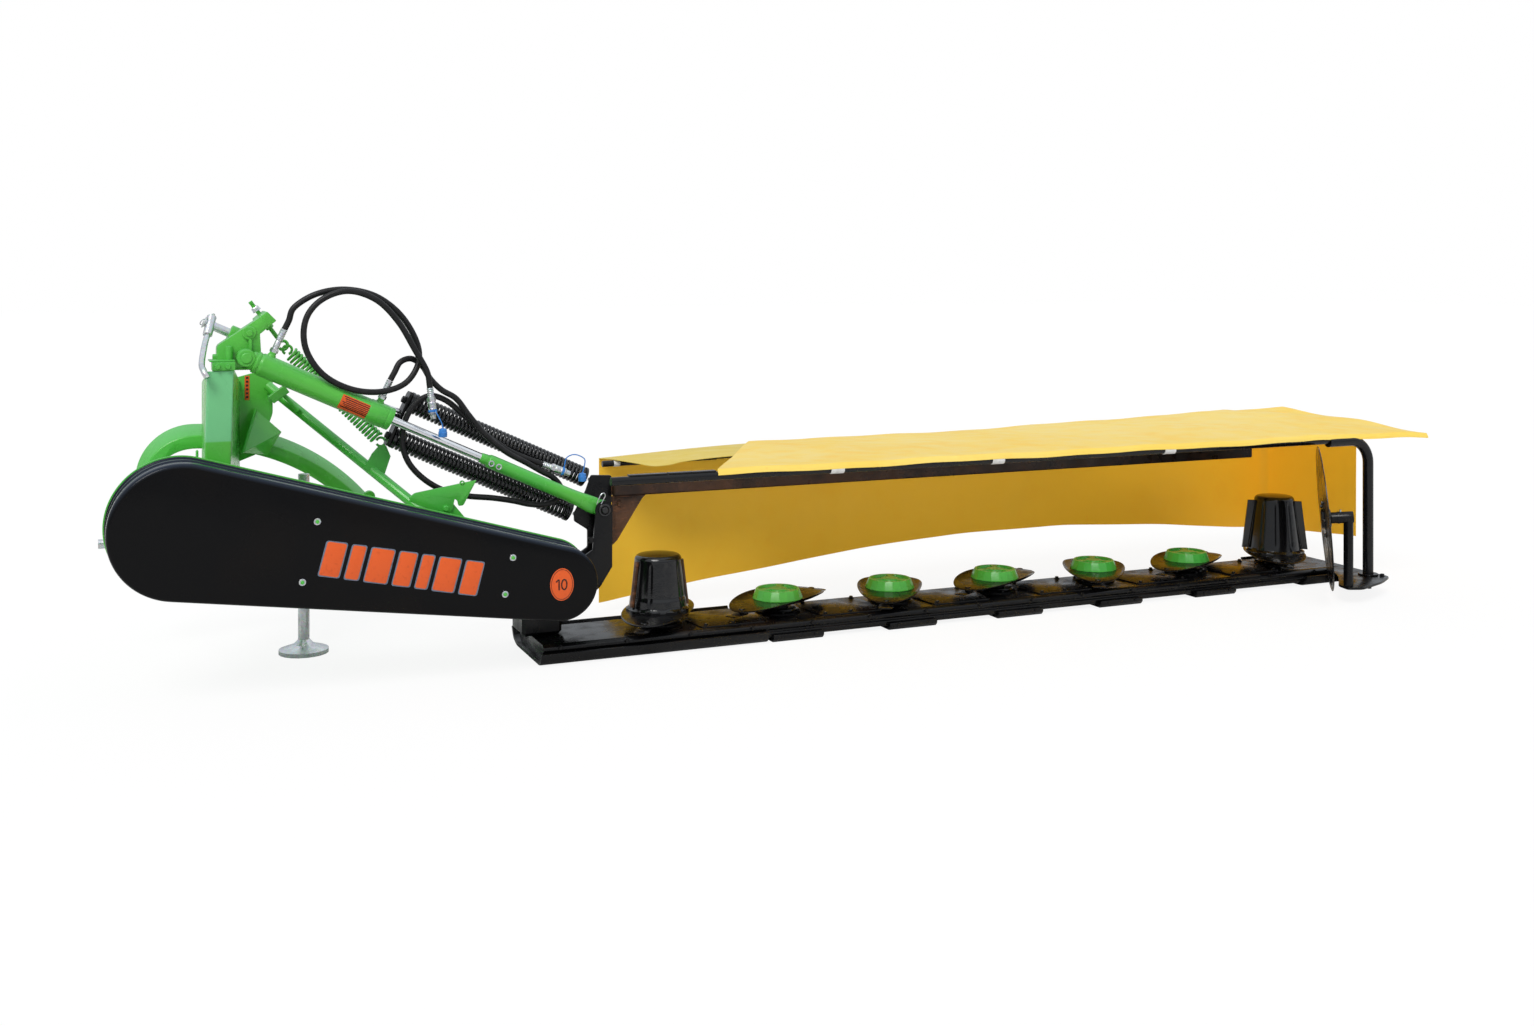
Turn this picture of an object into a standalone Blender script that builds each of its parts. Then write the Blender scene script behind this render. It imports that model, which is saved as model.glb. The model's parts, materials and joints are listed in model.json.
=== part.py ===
"""Rear-mounted disc mower: headstock, belt drive, lift cylinder, folding cutter bar and its cloth cover.

Metres, +Z up. The origin is on the ground under the inner rotor, +X runs along the cutter bar to its outer
end and +Y points forward to the tractor. Run it with blender --background --python part.py, or from the text
editor.
"""
import math

import bmesh
import bpy
from mathutils import Matrix, Vector

# Gap between pieces that touch, and how far welded shapes reach into each other
CLEARANCE = 0.0003
WELD = 0.002

# Rotors and cutter bar
ROTOR_COUNT = 7
ROTOR_PITCH = 0.400
BAR_START_X = -0.400
BAR_OVERHANG = 0.200
BAR_REAR_Y = -0.150
BAR_FRONT_Y = 0.122
BAR_HEIGHT = 0.0457
SOLE_THICKNESS = 0.012
SKID_HALF_WIDTH = 0.085
SEAT_RADIUS = 0.070
SEAT_HEIGHT = 0.014

# Discs, knives, caps and cones
DISC_LONG = 0.215
DISC_SHORT = 0.105
DISC_THICKNESS = 0.004
DISC_LIFT = 0.028
DISC_DROOP = 0.006
DISC_WING_RISE = 0.012
DISC_FLAT_SHARE = 0.80
DISC_CELLS = 7
DISC_CELL_SPREAD = 0.6
DISC_HUB_RADIUS = 0.034
DISC_PHASE_DEG = 31.0
KNIFE_LENGTH = 0.092
KNIFE_WIDTH = 0.046
KNIFE_THICKNESS = 0.004
KNIFE_BOLT_RADIUS = 0.190
CAP_RADIUS = 0.080
CAP_TOP_RADIUS = 0.070
CAP_HEIGHT = 0.030
INNER_CONE = {"base": 0.0855, "top": 0.065, "height": 0.172}
OUTER_CONE = {"base": 0.100, "top": 0.0735, "height": 0.210}

# Belt guard and pulleys: x and z of the two shafts
DRIVE_X, DRIVE_Z = -1.376, 0.463
PIVOT_X, PIVOT_Z = -0.370, 0.249
GUARD_BIG_RADIUS = 0.180
GUARD_SMALL_RADIUS = 0.107
GUARD_OUTER_Y = -0.250
GUARD_INNER_Y = -0.112
GUARD_WALL = 0.004
BACK_PLATE_RIM = 0.006
BACK_PLATE_THICKNESS = 0.006
DRIVE_PULLEY_RADIUS = 0.150
DRIVEN_PULLEY_RADIUS = 0.080
PULLEY_WIDTH = 0.080
PULLEY_Y = -0.185
BELT_THICKNESS = 0.008
BELT_WIDTH = 0.070
BELT_SEAT = 0.0009
SHAFT_RADIUS = 0.0175
SHAFT_FRONT_Y = 0.300
HOUSING_RADIUS = 0.048
HOUSING_FRONT_Y = 0.220

# Carrier beam behind the guard, and the pivot ring of the bar
BEAM_HEIGHT = 0.080
BEAM_DEPTH = 0.070
RING_RADIUS = 0.065
RING_INSET = 0.001
NECK_RADIUS = 0.0443
NECK_TURNING_GAP = 0.0007
NECK_INSET = 0.004
LUG_THICKNESS = 0.010
LUG_TOP_Z = 0.470
HOOK_THICKNESS = 0.008
HOOK_PIN_RADIUS = 0.008
BRACE_RADIUS = 0.015
BRACE_LOW = (-0.690, 0.420)
BRACE_HIGH = (-1.100, 0.785)
BRACE_LUG_Y = 0.120
BRACE_LUG_THICKNESS = 0.008

# Headstock
ARCH_LEFT, ARCH_RIGHT = -1.468, -0.780
ARCH_TOP_Z = 0.668
ARCH_SHOULDER = 0.160
ARCH_SWEEP = 0.675
ARCH_BAND = 0.070
ARCH_FOOT_Z = 0.300
ARCH_REAR_Y = 0.430
ARCH_DEPTH = 0.100
MAST_X = -1.260
MAST_WIDTH = 0.090
MAST_WALL = 0.008
MAST_BOTTOM_Z = 0.400
MAST_TOP_Z = 0.860
HITCH_PIN_RADIUS = 0.014
HITCH_PIN_LENGTH = 0.102
HITCH_PIN_Z = 0.330

# Lift cylinder: head pin and eye pin, in the plane y = 0
HEAD_X, HEAD_Z = -1.198, 0.894
EYE_X, EYE_Z = -0.181, 0.4165
HEAD_EYE_RADIUS = 0.0248
HEAD_PIN_RADIUS = 0.0147
BRACKET_Y = 0.025
BRACKET_THICKNESS = 0.050
BARREL_RADIUS = 0.032
BARREL_START = 0.012
BARREL_END = 0.462
BORE_START = 0.037
ROD_INNER_END = 0.320
ROD_SOCKET = 0.060
PIN_BORE_RADIUS = 0.012
ROD_RADIUS = 0.0125
ROD_TUBE_START = 0.767
ROD_TUBE_RADIUS = 0.020
EYE_RADIUS = 0.026
EYE_HALF_WIDTH = 0.015
PORT_RADIUS = 0.009
REAR_PORT_AT = 0.060
REAR_FERRULE_TOP = 0.112
GLAND_PORT_AT = 0.385
GLAND_FERRULE_TOP = 0.0997
FERRULE_RADIUS = 0.0095

# Balance springs, their yoke and the tie rod, measured along and across the cylinder's axis
SPRING_Y = 0.072
SPRING_RADIUS = 0.031
UPPER_SPRING_OFFSET = 0.066
LOWER_SPRING_OFFSET = -0.046
YOKE_AT = 0.490
YOKE_THICKNESS = 0.010
SPRING_ANCHOR_AT = 1.080
STUD_RADIUS = 0.008
SPRING_RIBS = 11

# Hinge bracket, gearbox
GEARBOX_HALF_X = 0.060
GEARBOX_REAR_Y = -0.030
GEARBOX_FRONT_Y = 0.100
GEARBOX_TOP_Z = 0.300
EAR_THICKNESS = 0.010
EAR_GAP = 0.022
BEAM_PLATE_THICKNESS = 0.010
BEAM_PLATE_FRONT_Y = 0.070

# Cover frame and cloth
COVER_BEAM_START_X = -0.140
COVER_BEAM_END_X = 2.300
COVER_BEAM_WIDTH = 0.050
COVER_BEAM_TOP_Z = 0.490
COVER_BEAM_HEIGHT = 0.040
RAIL_Y = -0.310
RAIL_TOP_Z = 0.553
CANOPY_GAP = 0.0005
RAIL_RADIUS = 0.0125
RAIL_START_X = -0.250
RAIL_END_X = 2.360
FRONT_RAIL_Y = 0.430
FRONT_RAIL_START_X = 0.300
FRONT_RAIL_END_X = 2.700
ARM_RADIUS = 0.009
ARM_PLACES = (0.480, 1.400, 2.240)
HOOP_RADIUS = 0.018
HOOP_X = 2.545
HOOP_BEND = 0.055
CLOTH_THICKNESS = 0.005
CANOPY_START_X = -0.050
CANOPY_END_X = 2.850
CANOPY_FAR_Y = 0.452
CANOPY_NEAR_Y = -0.322
CANOPY_FAR_START_Z = 0.505
CANOPY_FAR_END_Z = 0.577
CURTAIN_END_X = 2.750
CURTAIN_GAP = 0.0016
CURTAIN_SIDE_END_Y = -0.050

# Outer shoe and swath disc
OUTER_SHOE_START_X = 2.400
OUTER_SHOE_END_X = 2.690
INNER_SHOE_START_X = -0.410
INNER_SHOE_END_X = 0.300
TAIL_THICKNESS = 0.008
TAIL_WIDTH = 0.100
TAIL_REAR_Y = -0.360
SWATH_RADIUS = 0.2445
SWATH_CENTRE = Vector((2.280, -0.381, 0.2855))
SWATH_THICKNESS = 0.004
SWATH_TOE_DEG = -39.2
SWATH_LEAN = 0.090
SWATH_STUB = 0.060
SWATH_POST_RADIUS = 0.016
SWATH_HUB_RADIUS = 0.034
SWATH_AXLE_RADIUS = 0.008
SWATH_POST_RISE = 0.030

# Parking stand and top-link pin
STAND_X, STAND_Y = -1.010, 0.290
STAND_RADIUS = 0.0165
STAND_FOOT_RADIUS = 0.072
STAND_TOP_Z = 0.530
SLEEVE_WALL = 0.005
SLEEVE_BOTTOM_Z = 0.330
SLEEVE_TOP_Z = 0.420
SLEEVE_COLLAR = 0.059
SLEEVE_ARM_HEIGHT = 0.026
SLEEVE_ARM_WIDTH = 0.030

# Transport hook's pivot
HOOK_X, HOOK_Z = -0.660, 0.455

# Hoses with their couplers and strapped dust caps: points chosen by hand along each one
HOSE_RADIUS = 0.0072
COUPLER_LENGTH = 0.090
COUPLER_RADIUS = 0.0125
COUPLER_NECK_RADIUS = 0.0098
COUPLER_TIP_RADIUS = 0.0085
STRAP_RADIUS = 0.0018
STRAP_RING_AT = 0.062
STRAP_RING_WIDTH = 0.007
DUST_CAP_RADIUS = 0.0125
DUST_CAP_HEIGHT = 0.026
HOSE_A_ROUTE = (
    (-1.096, 0.000, 0.970), (-1.084, 0.000, 0.995), (-1.069, 0.000, 1.032), (-1.010, 0.000, 1.068),
    (-0.931, 0.002, 1.082), (-0.847, 0.004, 1.061), (-0.777, 0.006, 1.007), (-0.732, 0.006, 0.931),
    (-0.727, 0.001, 0.869), (-0.766, -0.013, 0.813), (-0.838, -0.024, 0.791), (-0.922, -0.030, 0.802),
    (-0.998, -0.032, 0.846), (-1.043, -0.030, 0.919), (-1.042, -0.026, 0.997), (-0.999, -0.022, 1.052),
    (-0.926, -0.020, 1.076), (-0.848, -0.020, 1.050), (-0.787, -0.020, 0.987), (-0.741, -0.022, 0.907),
    (-0.7075, -0.024, 0.845), (-0.699, -0.024, 0.798),
)
HOSE_B_ROUTE = (
    (-0.807, 0.000, 0.821), (-0.795, 0.000, 0.843), (-0.777, 0.006, 0.872), (-0.744, 0.016, 0.880),
    (-0.712, 0.021, 0.858), (-0.689, 0.019, 0.820), (-0.658, 0.014, 0.788), (-0.616, 0.010, 0.761),
    (-0.578, 0.010, 0.710), (-0.531, 0.010, 0.653), (-0.469, 0.010, 0.600), (-0.408, 0.013, 0.565),
    (-0.360, 0.021, 0.536), (-0.322, 0.028, 0.514), (-0.298, 0.0295, 0.482), (-0.309, 0.0295, 0.450),
    (-0.343, 0.0295, 0.436), (-0.392, 0.026, 0.439), (-0.448, 0.019, 0.454), (-0.512, 0.013, 0.467),
    (-0.580, 0.012, 0.476), (-0.641, 0.013, 0.492), (-0.698, 0.016, 0.524), (-0.743, 0.021, 0.569),
    (-0.765, 0.0255, 0.618), (-0.767, 0.0285, 0.667), (-0.755, 0.031, 0.712), (-0.727, 0.031, 0.752),
    (-0.687, 0.029, 0.771), (-0.641, 0.0285, 0.755), (-0.594, 0.029, 0.715), (-0.530, 0.0285, 0.654),
    (-0.461, 0.0285, 0.604), (-0.407, 0.0285, 0.577), (-0.355, 0.0275, 0.556),
)
STRAP_A_ROUTE = ((-0.684, -0.043, 0.727), (-0.675, -0.045, 0.706), (-0.667, -0.040, 0.687),
                 (-0.665, -0.037, 0.671))
STRAP_B_ROUTE = ((-0.280, 0.0275, 0.572), (-0.2545, 0.027, 0.580), (-0.226, 0.026, 0.566), (-0.2265, 0.025, 0.543),
                 (-0.2325, 0.025, 0.523))

GREEN = ("green_paint", (0.09, 0.48, 0.07), 0.35, 0.0)
BLACK = ("black_paint", (0.006, 0.006, 0.006), 0.25, 0.0)
STEEL = ("bright_steel", (0.55, 0.56, 0.58), 0.25, 1.0)
IRON = ("dark_iron", (0.05, 0.05, 0.05), 0.5, 0.8)
RUBBER = ("black_rubber", (0.01, 0.01, 0.01), 0.6, 0.0)
BLUE = ("blue_plastic", (0.05, 0.27, 0.68), 0.4, 0.0)
YELLOW = ("yellow_cloth", (0.85, 0.65, 0.10), 0.55, 0.0)


def clear_scene():
    """Removes the objects of the open scene."""
    for thing in list(bpy.data.objects):
        bpy.data.objects.remove(thing, do_unlink=True)


def collection(name):
    """A new collection, linked to the scene."""
    made = bpy.data.collections.new(name)
    bpy.context.scene.collection.children.link(made)
    return made


def paint(thing, finish):
    """Gives an object its own Principled material."""
    name, colour, roughness, metallic = finish
    material = bpy.data.materials.new(thing.name + "_" + name)
    material.use_nodes = True
    shader = material.node_tree.nodes["Principled BSDF"]
    shader.inputs["Base Color"].default_value = (*colour, 1.0)
    shader.inputs["Roughness"].default_value = roughness
    shader.inputs["Metallic"].default_value = metallic
    thing.data.materials.clear()
    thing.data.materials.append(material)


def shape(mesh):
    """A hidden helper object that holds a mesh until it is welded, cut with or named."""
    helper = bpy.data.objects.new("shape", mesh)
    CUTTERS.objects.link(helper)
    helper.hide_render = True
    helper.display_type = "WIRE"
    return helper


def from_bmesh(working):
    """A helper object from a bmesh, with its faces pointing out."""
    bmesh.ops.recalc_face_normals(working, faces=working.faces)
    mesh = bpy.data.meshes.new("shape")
    working.to_mesh(mesh)
    working.free()
    return shape(mesh)


def box(low, high):
    """A box between two corners."""
    low, high = Vector(low), Vector(high)
    working = bmesh.new()
    size = high - low
    place = Matrix.Translation((low + high) / 2) @ Matrix.Diagonal((*size, 1.0))
    bmesh.ops.create_cube(working, size=1.0, matrix=place)
    return from_bmesh(working)


def along(start, end):
    """The rotation that turns +Z to the line from start to end, and the line's length."""
    line = Vector(end) - Vector(start)
    return line.to_track_quat("Z", "Y").to_matrix().to_4x4(), line.length


def rod(start, end, radius, end_radius=None, sides=16):
    """A round bar, or a cone, between two points."""
    turn, length = along(start, end)
    middle = (Vector(start) + Vector(end)) / 2
    working = bmesh.new()
    bmesh.ops.create_cone(working, cap_ends=True, segments=sides, radius1=radius,
                          radius2=radius if end_radius is None else end_radius, depth=length,
                          matrix=Matrix.Translation(middle) @ turn)
    return from_bmesh(working)


def turned(profile, start, direction, steps=24):
    """A solid turned about the line through start: profile holds (radius, height) pairs, top to bottom."""
    mesh = bpy.data.meshes.new("profile")
    closed = profile[0][0] > 0 and profile[-1][0] > 0
    count = len(profile)
    edges = [(i, i + 1) for i in range(count - 1)]
    if closed:
        edges.append((count - 1, 0))
    mesh.from_pydata([(radius, 0.0, height) for radius, height in profile], edges, [])
    helper = shape(mesh)
    screw = helper.modifiers.new("turn", "SCREW")
    screw.axis = "Z"
    screw.steps = steps
    screw.render_steps = steps
    screw.use_merge_vertices = True
    screw.merge_threshold = 0.00005
    turn, _ = along((0, 0, 0), direction)
    helper.matrix_world = Matrix.Translation(Vector(start)) @ turn
    return helper


def baked(curve_object):
    """The mesh of a curve object, with its loose caps welded, in place of the curve."""
    bpy.context.view_layer.update()
    seen = curve_object.evaluated_get(bpy.context.evaluated_depsgraph_get())
    mesh = bpy.data.meshes.new_from_object(seen)
    working = bmesh.new()
    working.from_mesh(mesh)
    bmesh.ops.remove_doubles(working, verts=working.verts, dist=0.00002)
    bmesh.ops.recalc_face_normals(working, faces=working.faces)
    working.to_mesh(mesh)
    working.free()
    helper = shape(mesh)
    helper.matrix_world = curve_object.matrix_world.copy()
    bpy.data.objects.remove(curve_object, do_unlink=True)
    return helper


def poly_spline(curve, points, cyclic):
    """Adds a POLY spline through the points."""
    spline = curve.splines.new("POLY")
    spline.points.add(len(points) - 1)
    for knot, point in zip(spline.points, points):
        knot.co = (*point, 1.0)
    spline.use_cyclic_u = cyclic


def tube(points, radius, resolution=2):
    """A round tube along the points, with filled caps."""
    curve = bpy.data.curves.new("tube", "CURVE")
    curve.dimensions = "3D"
    curve.bevel_depth = radius
    curve.bevel_resolution = resolution
    curve.use_fill_caps = True
    poly_spline(curve, [tuple(point) for point in points], False)
    made = bpy.data.objects.new("tube", curve)
    CUTTERS.objects.link(made)
    return baked(made)


PLATE_TURNS = {
    "XZ": Matrix.Rotation(math.radians(90), 4, "X"),
    "YZ": Matrix.Rotation(math.radians(90), 4, "Z") @ Matrix.Rotation(math.radians(90), 4, "X"),
    "XY": Matrix.Identity(4),
}
PLATE_NORMALS = {"XZ": Vector((0, 1, 0)), "YZ": Vector((1, 0, 0)), "XY": Vector((0, 0, 1))}


def plate(plane, outlines, low, high):
    """A flat outline, with holes where more outlines follow, from low to high across its plane."""
    curve = bpy.data.curves.new("plate", "CURVE")
    curve.dimensions = "2D"
    curve.fill_mode = "BOTH"
    curve.extrude = (high - low) / 2
    for outline in outlines:
        poly_spline(curve, [(a, b, 0.0) for a, b in outline], True)
    made = bpy.data.objects.new("plate", curve)
    CUTTERS.objects.link(made)
    made.matrix_world = Matrix.Translation(PLATE_NORMALS[plane] * (low + high) / 2) @ PLATE_TURNS[plane]
    return baked(made)


def arc(centre, radius, start_deg, end_deg, count):
    """Points along an arc, both ends included."""
    points = []
    for i in range(count):
        angle = math.radians(start_deg + (end_deg - start_deg) * i / (count - 1))
        points.append((centre[0] + radius * math.cos(angle), centre[1] + radius * math.sin(angle)))
    return points


def smooth(points, steps):
    """Points of a Catmull-Rom curve through the given points."""
    known = [Vector(point) for point in points]
    known = [2 * known[0] - known[1]] + known + [2 * known[-1] - known[-2]]
    result = []
    for a, b, c, d in zip(known, known[1:], known[2:], known[3:]):
        for i in range(steps):
            t = i / steps
            result.append(0.5 * (2 * b + (c - a) * t + (2 * a - 5 * b + 4 * c - d) * t ** 2
                                 + (3 * b - a - 3 * c + d) * t ** 3))
    result.append(known[-2])
    return result


def weld(base, others=(), cutters=()):
    """Joins shapes to a base with Boolean unions, then cuts the cutters out of it."""
    for operation, group in (("UNION", others), ("DIFFERENCE", cutters)):
        for other in group:
            step = base.modifiers.new(operation.lower(), "BOOLEAN")
            step.operation = operation
            step.solver = "EXACT"
            step.object = other
    return base


def bevel(thing, width, segments=1):
    """Rounds a shape's edges that are sharper than 40 degrees."""
    step = thing.modifiers.new("bevel", "BEVEL")
    step.width = width
    step.segments = segments
    step.limit_method = "ANGLE"
    step.angle_limit = math.radians(40)
    return thing


def name_part(thing, name, finish, parent=None):
    """Moves a finished helper to the mower's collection under its own name, material and parent."""
    CUTTERS.objects.unlink(thing)
    PARTS.objects.link(thing)
    thing.name = name
    thing.data.name = name
    thing.hide_render = False
    thing.display_type = "TEXTURED"
    paint(thing, finish)
    thing.data.shade_smooth()
    thing.data.set_sharp_from_angle(angle=math.radians(35))
    if parent is not None:
        world = thing.matrix_world.copy()
        thing.parent = parent
        thing.matrix_parent_inverse = Matrix.Translation(parent.location).inverted()
        thing.matrix_basis = world
    return thing


def axis_empty(name, place, parent=None):
    """An empty on a joint's axis, which carries the pieces that move about it."""
    empty = bpy.data.objects.new(name, None)
    PARTS.objects.link(empty)
    empty.location = place
    if parent is not None:
        empty.parent = parent
        empty.matrix_parent_inverse = Matrix.Translation(parent.location).inverted()
    return empty


# Directions along and across the lift cylinder
CYLINDER_LENGTH = math.hypot(EYE_X - HEAD_X, EYE_Z - HEAD_Z)
DOWN_CYLINDER = Vector((EYE_X - HEAD_X, 0.0, EYE_Z - HEAD_Z)) / CYLINDER_LENGTH
ABOVE_CYLINDER = Vector((-DOWN_CYLINDER.z, 0.0, DOWN_CYLINDER.x))


def by_cylinder(distance, offset=0.0, y=0.0):
    """The point at a distance from the head pin along the cylinder, offset across it, at a given y."""
    return Vector((HEAD_X, y, HEAD_Z)) + DOWN_CYLINDER * distance + ABOVE_CYLINDER * offset


def loop_outline(big_radius, small_radius, big_count=15, small_count=11):
    """The outline of a belt round the two shafts, as (x, z) points."""
    span_x, span_z = PIVOT_X - DRIVE_X, PIVOT_Z - DRIVE_Z
    lean = math.degrees(math.atan2(span_z, span_x))
    spread = math.degrees(math.acos((big_radius - small_radius) / math.hypot(span_x, span_z)))
    around_big = arc((DRIVE_X, DRIVE_Z), big_radius, lean + spread, lean + 360 - spread, big_count)
    around_small = arc((PIVOT_X, PIVOT_Z), small_radius, lean - spread, lean + spread, small_count)
    return around_big + around_small


# Heights that follow from the bar's section
BAR_BOTTOM_Z = SOLE_THICKNESS + CLEARANCE
BAR_TOP_Z = BAR_BOTTOM_Z + BAR_HEIGHT
SEAT_TOP_Z = BAR_TOP_Z + SEAT_HEIGHT
DISC_TOP_Z = SEAT_TOP_Z + DISC_LIFT
BAR_END_X = (ROTOR_COUNT - 1) * ROTOR_PITCH + BAR_OVERHANG
BACK_PLATE_Y = GUARD_INNER_Y + CLEARANCE
BEAM_REAR_Y = BACK_PLATE_Y + BACK_PLATE_THICKNESS + CLEARANCE
BEAM_FRONT_Y = BEAM_REAR_Y + BEAM_DEPTH
NECK_REAR_Y = BEAM_REAR_Y + NECK_INSET


def rotor_x(index):
    """The x of a rotor's axis."""
    return index * ROTOR_PITCH


def beam_z(x):
    """The height of the carrier beam's middle line, which runs from shaft to shaft."""
    return DRIVE_Z + (PIVOT_Z - DRIVE_Z) * (x - DRIVE_X) / (PIVOT_X - DRIVE_X)


def arch_side(inset):
    """The arch's outline, set in: right foot, long sweep to the top, tight left shoulder, left foot."""
    sweep, shoulder = ARCH_SWEEP - inset, ARCH_SHOULDER - inset
    left, right = ARCH_LEFT + inset, ARCH_RIGHT - inset
    peak_x = ARCH_LEFT + ARCH_SHOULDER
    start = math.degrees(math.acos((right - peak_x) / sweep))
    return ([(right, ARCH_FOOT_Z)] + arc((peak_x, ARCH_TOP_Z - ARCH_SWEEP), sweep, start, 90, 12)
            + arc((peak_x, ARCH_TOP_Z - ARCH_SHOULDER), shoulder, 90, 180, 9)[1:] + [(left, ARCH_FOOT_Z)])


def make_headstock():
    """Arch, mast, hitch pins: what the tractor holds."""
    arch = plate("XZ", [arch_side(0.0) + arch_side(ARCH_BAND)[::-1]], ARCH_REAR_Y, ARCH_REAR_Y + ARCH_DEPTH)
    pin_y = ARCH_REAR_Y + ARCH_DEPTH / 2
    bores = []
    for side, word, face in ((-1, "left", ARCH_LEFT), (1, "right", ARCH_RIGHT)):
        inside = face - side * ARCH_BAND
        bores.append(rod((inside - side * 0.01, pin_y, HITCH_PIN_Z), (face + side * 0.01, pin_y, HITCH_PIN_Z),
                         HITCH_PIN_RADIUS + CLEARANCE))
        start = (inside - side * 0.012, pin_y, HITCH_PIN_Z)
        end = (face + side * HITCH_PIN_LENGTH, pin_y, HITCH_PIN_Z)
        collar_start = (face + side * CLEARANCE, pin_y, HITCH_PIN_Z)
        collar_end = (face + side * 0.012, pin_y, HITCH_PIN_Z)
        pin = weld(rod(start, end, HITCH_PIN_RADIUS), [rod(collar_start, collar_end, HITCH_PIN_RADIUS * 1.8)])
        name_part(pin, "lower_hitch_pin_" + word, STEEL)
    name_part(weld(arch, [], bores), "hitch_arch", GREEN)
    make_mast()


def make_mast():
    """Bent plate mast: a near plate, two side plates, a cap and the plate that meets the arch."""
    left, right = MAST_X - MAST_WIDTH / 2, MAST_X + MAST_WIDTH / 2
    near_y = BEAM_FRONT_Y + CLEARANCE
    far_y = ARCH_REAR_Y - CLEARANCE
    side = [(near_y, MAST_BOTTOM_Z), (far_y, MAST_BOTTOM_Z + 0.10), (far_y, 0.80), (0.16, MAST_TOP_Z),
            (near_y, MAST_TOP_Z)]
    near_plate = box((left, near_y, MAST_BOTTOM_Z), (right, near_y + MAST_WALL, MAST_TOP_Z))
    left_side = plate("YZ", [side], left, left + MAST_WALL)
    right_side = plate("YZ", [side], right - MAST_WALL, right)
    cap = box((left, near_y, MAST_TOP_Z - 0.010), (right, 0.150, MAST_TOP_Z))
    rear = plate("XZ", [[(left, 0.52), (left, 0.79), (-1.085, 0.84), (-1.085, 0.70), (-1.13, 0.58)]],
                 far_y - MAST_WALL, far_y)
    name_part(weld(near_plate, [left_side, right_side, cap, rear]), "mast", GREEN)


def make_head():
    """Head bracket, head pin, eye bolt and the tension spring that hangs from it."""
    y_low, y_high = BRACKET_Y, BRACKET_Y + BRACKET_THICKNESS
    foot_z = MAST_TOP_Z + CLEARANCE
    body = [(-1.271, foot_z), (-1.160, foot_z), (-1.155, 0.905), (-1.158, 0.960), (-1.135, 0.985),
            (-1.155, 1.008), (-1.168, 0.997), (-1.271, 0.927)]
    arm = [(-1.168, 0.997), (-1.139, 1.020), (-1.114, 0.994), (-1.158, 0.957)]
    bracket = plate("XZ", [body], y_low, y_high)
    arm_block = plate("XZ", [arm], y_low + 0.001, 0.150)
    pin_bore = rod((HEAD_X, y_low - 0.01, HEAD_Z), (HEAD_X, y_high + 0.01, HEAD_Z), HEAD_PIN_RADIUS + CLEARANCE)
    bolt_top, bolt_end = Vector((-1.176, 0.125, 1.046)), Vector((-1.096, 0.125, 0.934))
    bolt_line = (bolt_end - bolt_top).normalized()
    bolt_bore = rod(bolt_top, bolt_end, 0.006 + CLEARANCE, sides=12)
    link_back = Vector((-1.225, 0.100, 0.955))
    link_line = Vector((-0.905, 0.0, 0.425)).normalized()
    sleeve = rod(link_back - link_line * 0.045, link_back + link_line * 0.010, 0.024)
    bridge = box((-1.235, y_high - WELD, 0.925), (-1.195, 0.100, 0.955))
    link_bore = rod(link_back - link_line * 0.060, link_back + link_line * 0.030, 0.011 + CLEARANCE)
    name_part(weld(bracket, [arm_block, sleeve, bridge], [pin_bore, bolt_bore, link_bore]), "head_bracket", GREEN)

    pin = rod((HEAD_X, -0.0205, HEAD_Z), (HEAD_X, 0.098, HEAD_Z), HEAD_PIN_RADIUS)
    head = rod((HEAD_X, -0.028, HEAD_Z), (HEAD_X, -0.0203, HEAD_Z), 0.019)
    name_part(weld(pin, [head]), "head_pin", GREEN)

    eye_bolt = rod(bolt_top, bolt_end, 0.006, sides=12)
    upper_nut = rod(bolt_top + bolt_line * 0.018, bolt_top + bolt_line * 0.031, 0.011, sides=6)
    lower_nut = rod(bolt_top + bolt_line * 0.083, bolt_top + bolt_line * 0.096, 0.011, sides=6)
    name_part(weld(eye_bolt, [upper_nut, lower_nut]), "eye_bolt", GREEN)
    low_end = Vector((-0.806, 0.125, 0.626))
    make_spring(bolt_end + bolt_line * 4 * CLEARANCE, low_end, 0.020, 0.005, 10, "tension_spring", GREEN)
    make_top_link_pin(link_back, link_line)


def make_spring(start, end, radius, hook_radius, ribs, name, finish, parent=None):
    """A close-wound coil spring as a ribbed round bar with a thin hook stem at each end."""
    start, end = Vector(start), Vector(end)
    length = (end - start).length
    stem = min(0.035, length * 0.12)
    profile = [(0.0, length), (hook_radius, length), (hook_radius, length - stem)]
    pitch = (length - 2 * stem) / ribs
    for i in range(ribs):
        top = length - stem - pitch * i
        profile.append((radius, top - pitch * 0.25))
        profile.append((radius, top - pitch * 0.75))
        if i < ribs - 1:
            profile.append((radius * 0.86, top - pitch))
    profile += [(hook_radius, stem), (hook_radius, 0.0), (0.0, 0.0)]
    name_part(turned(profile, start, end - start, 10), name, finish, parent)


def make_top_link_pin(back, line):
    """The top-link pin in its sleeve, with a bent handle that hangs from its outer end."""
    carrier = axis_empty("top_link_pin_axis", back)
    tip = back + line * 0.085
    inner = back - line * 0.050
    pin = rod(inner, tip, 0.011)
    handle_top = back + line * 0.070
    handle = tube(smooth([handle_top, (-1.303, 0.055, 0.938), (-1.3145, -0.012, 0.884), (-1.3085, -0.046, 0.866),
                          (-1.300, -0.054, 0.845)], 2), 0.006)
    name_part(weld(pin, [handle]), "top_link_pin", STEEL, carrier)


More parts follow.
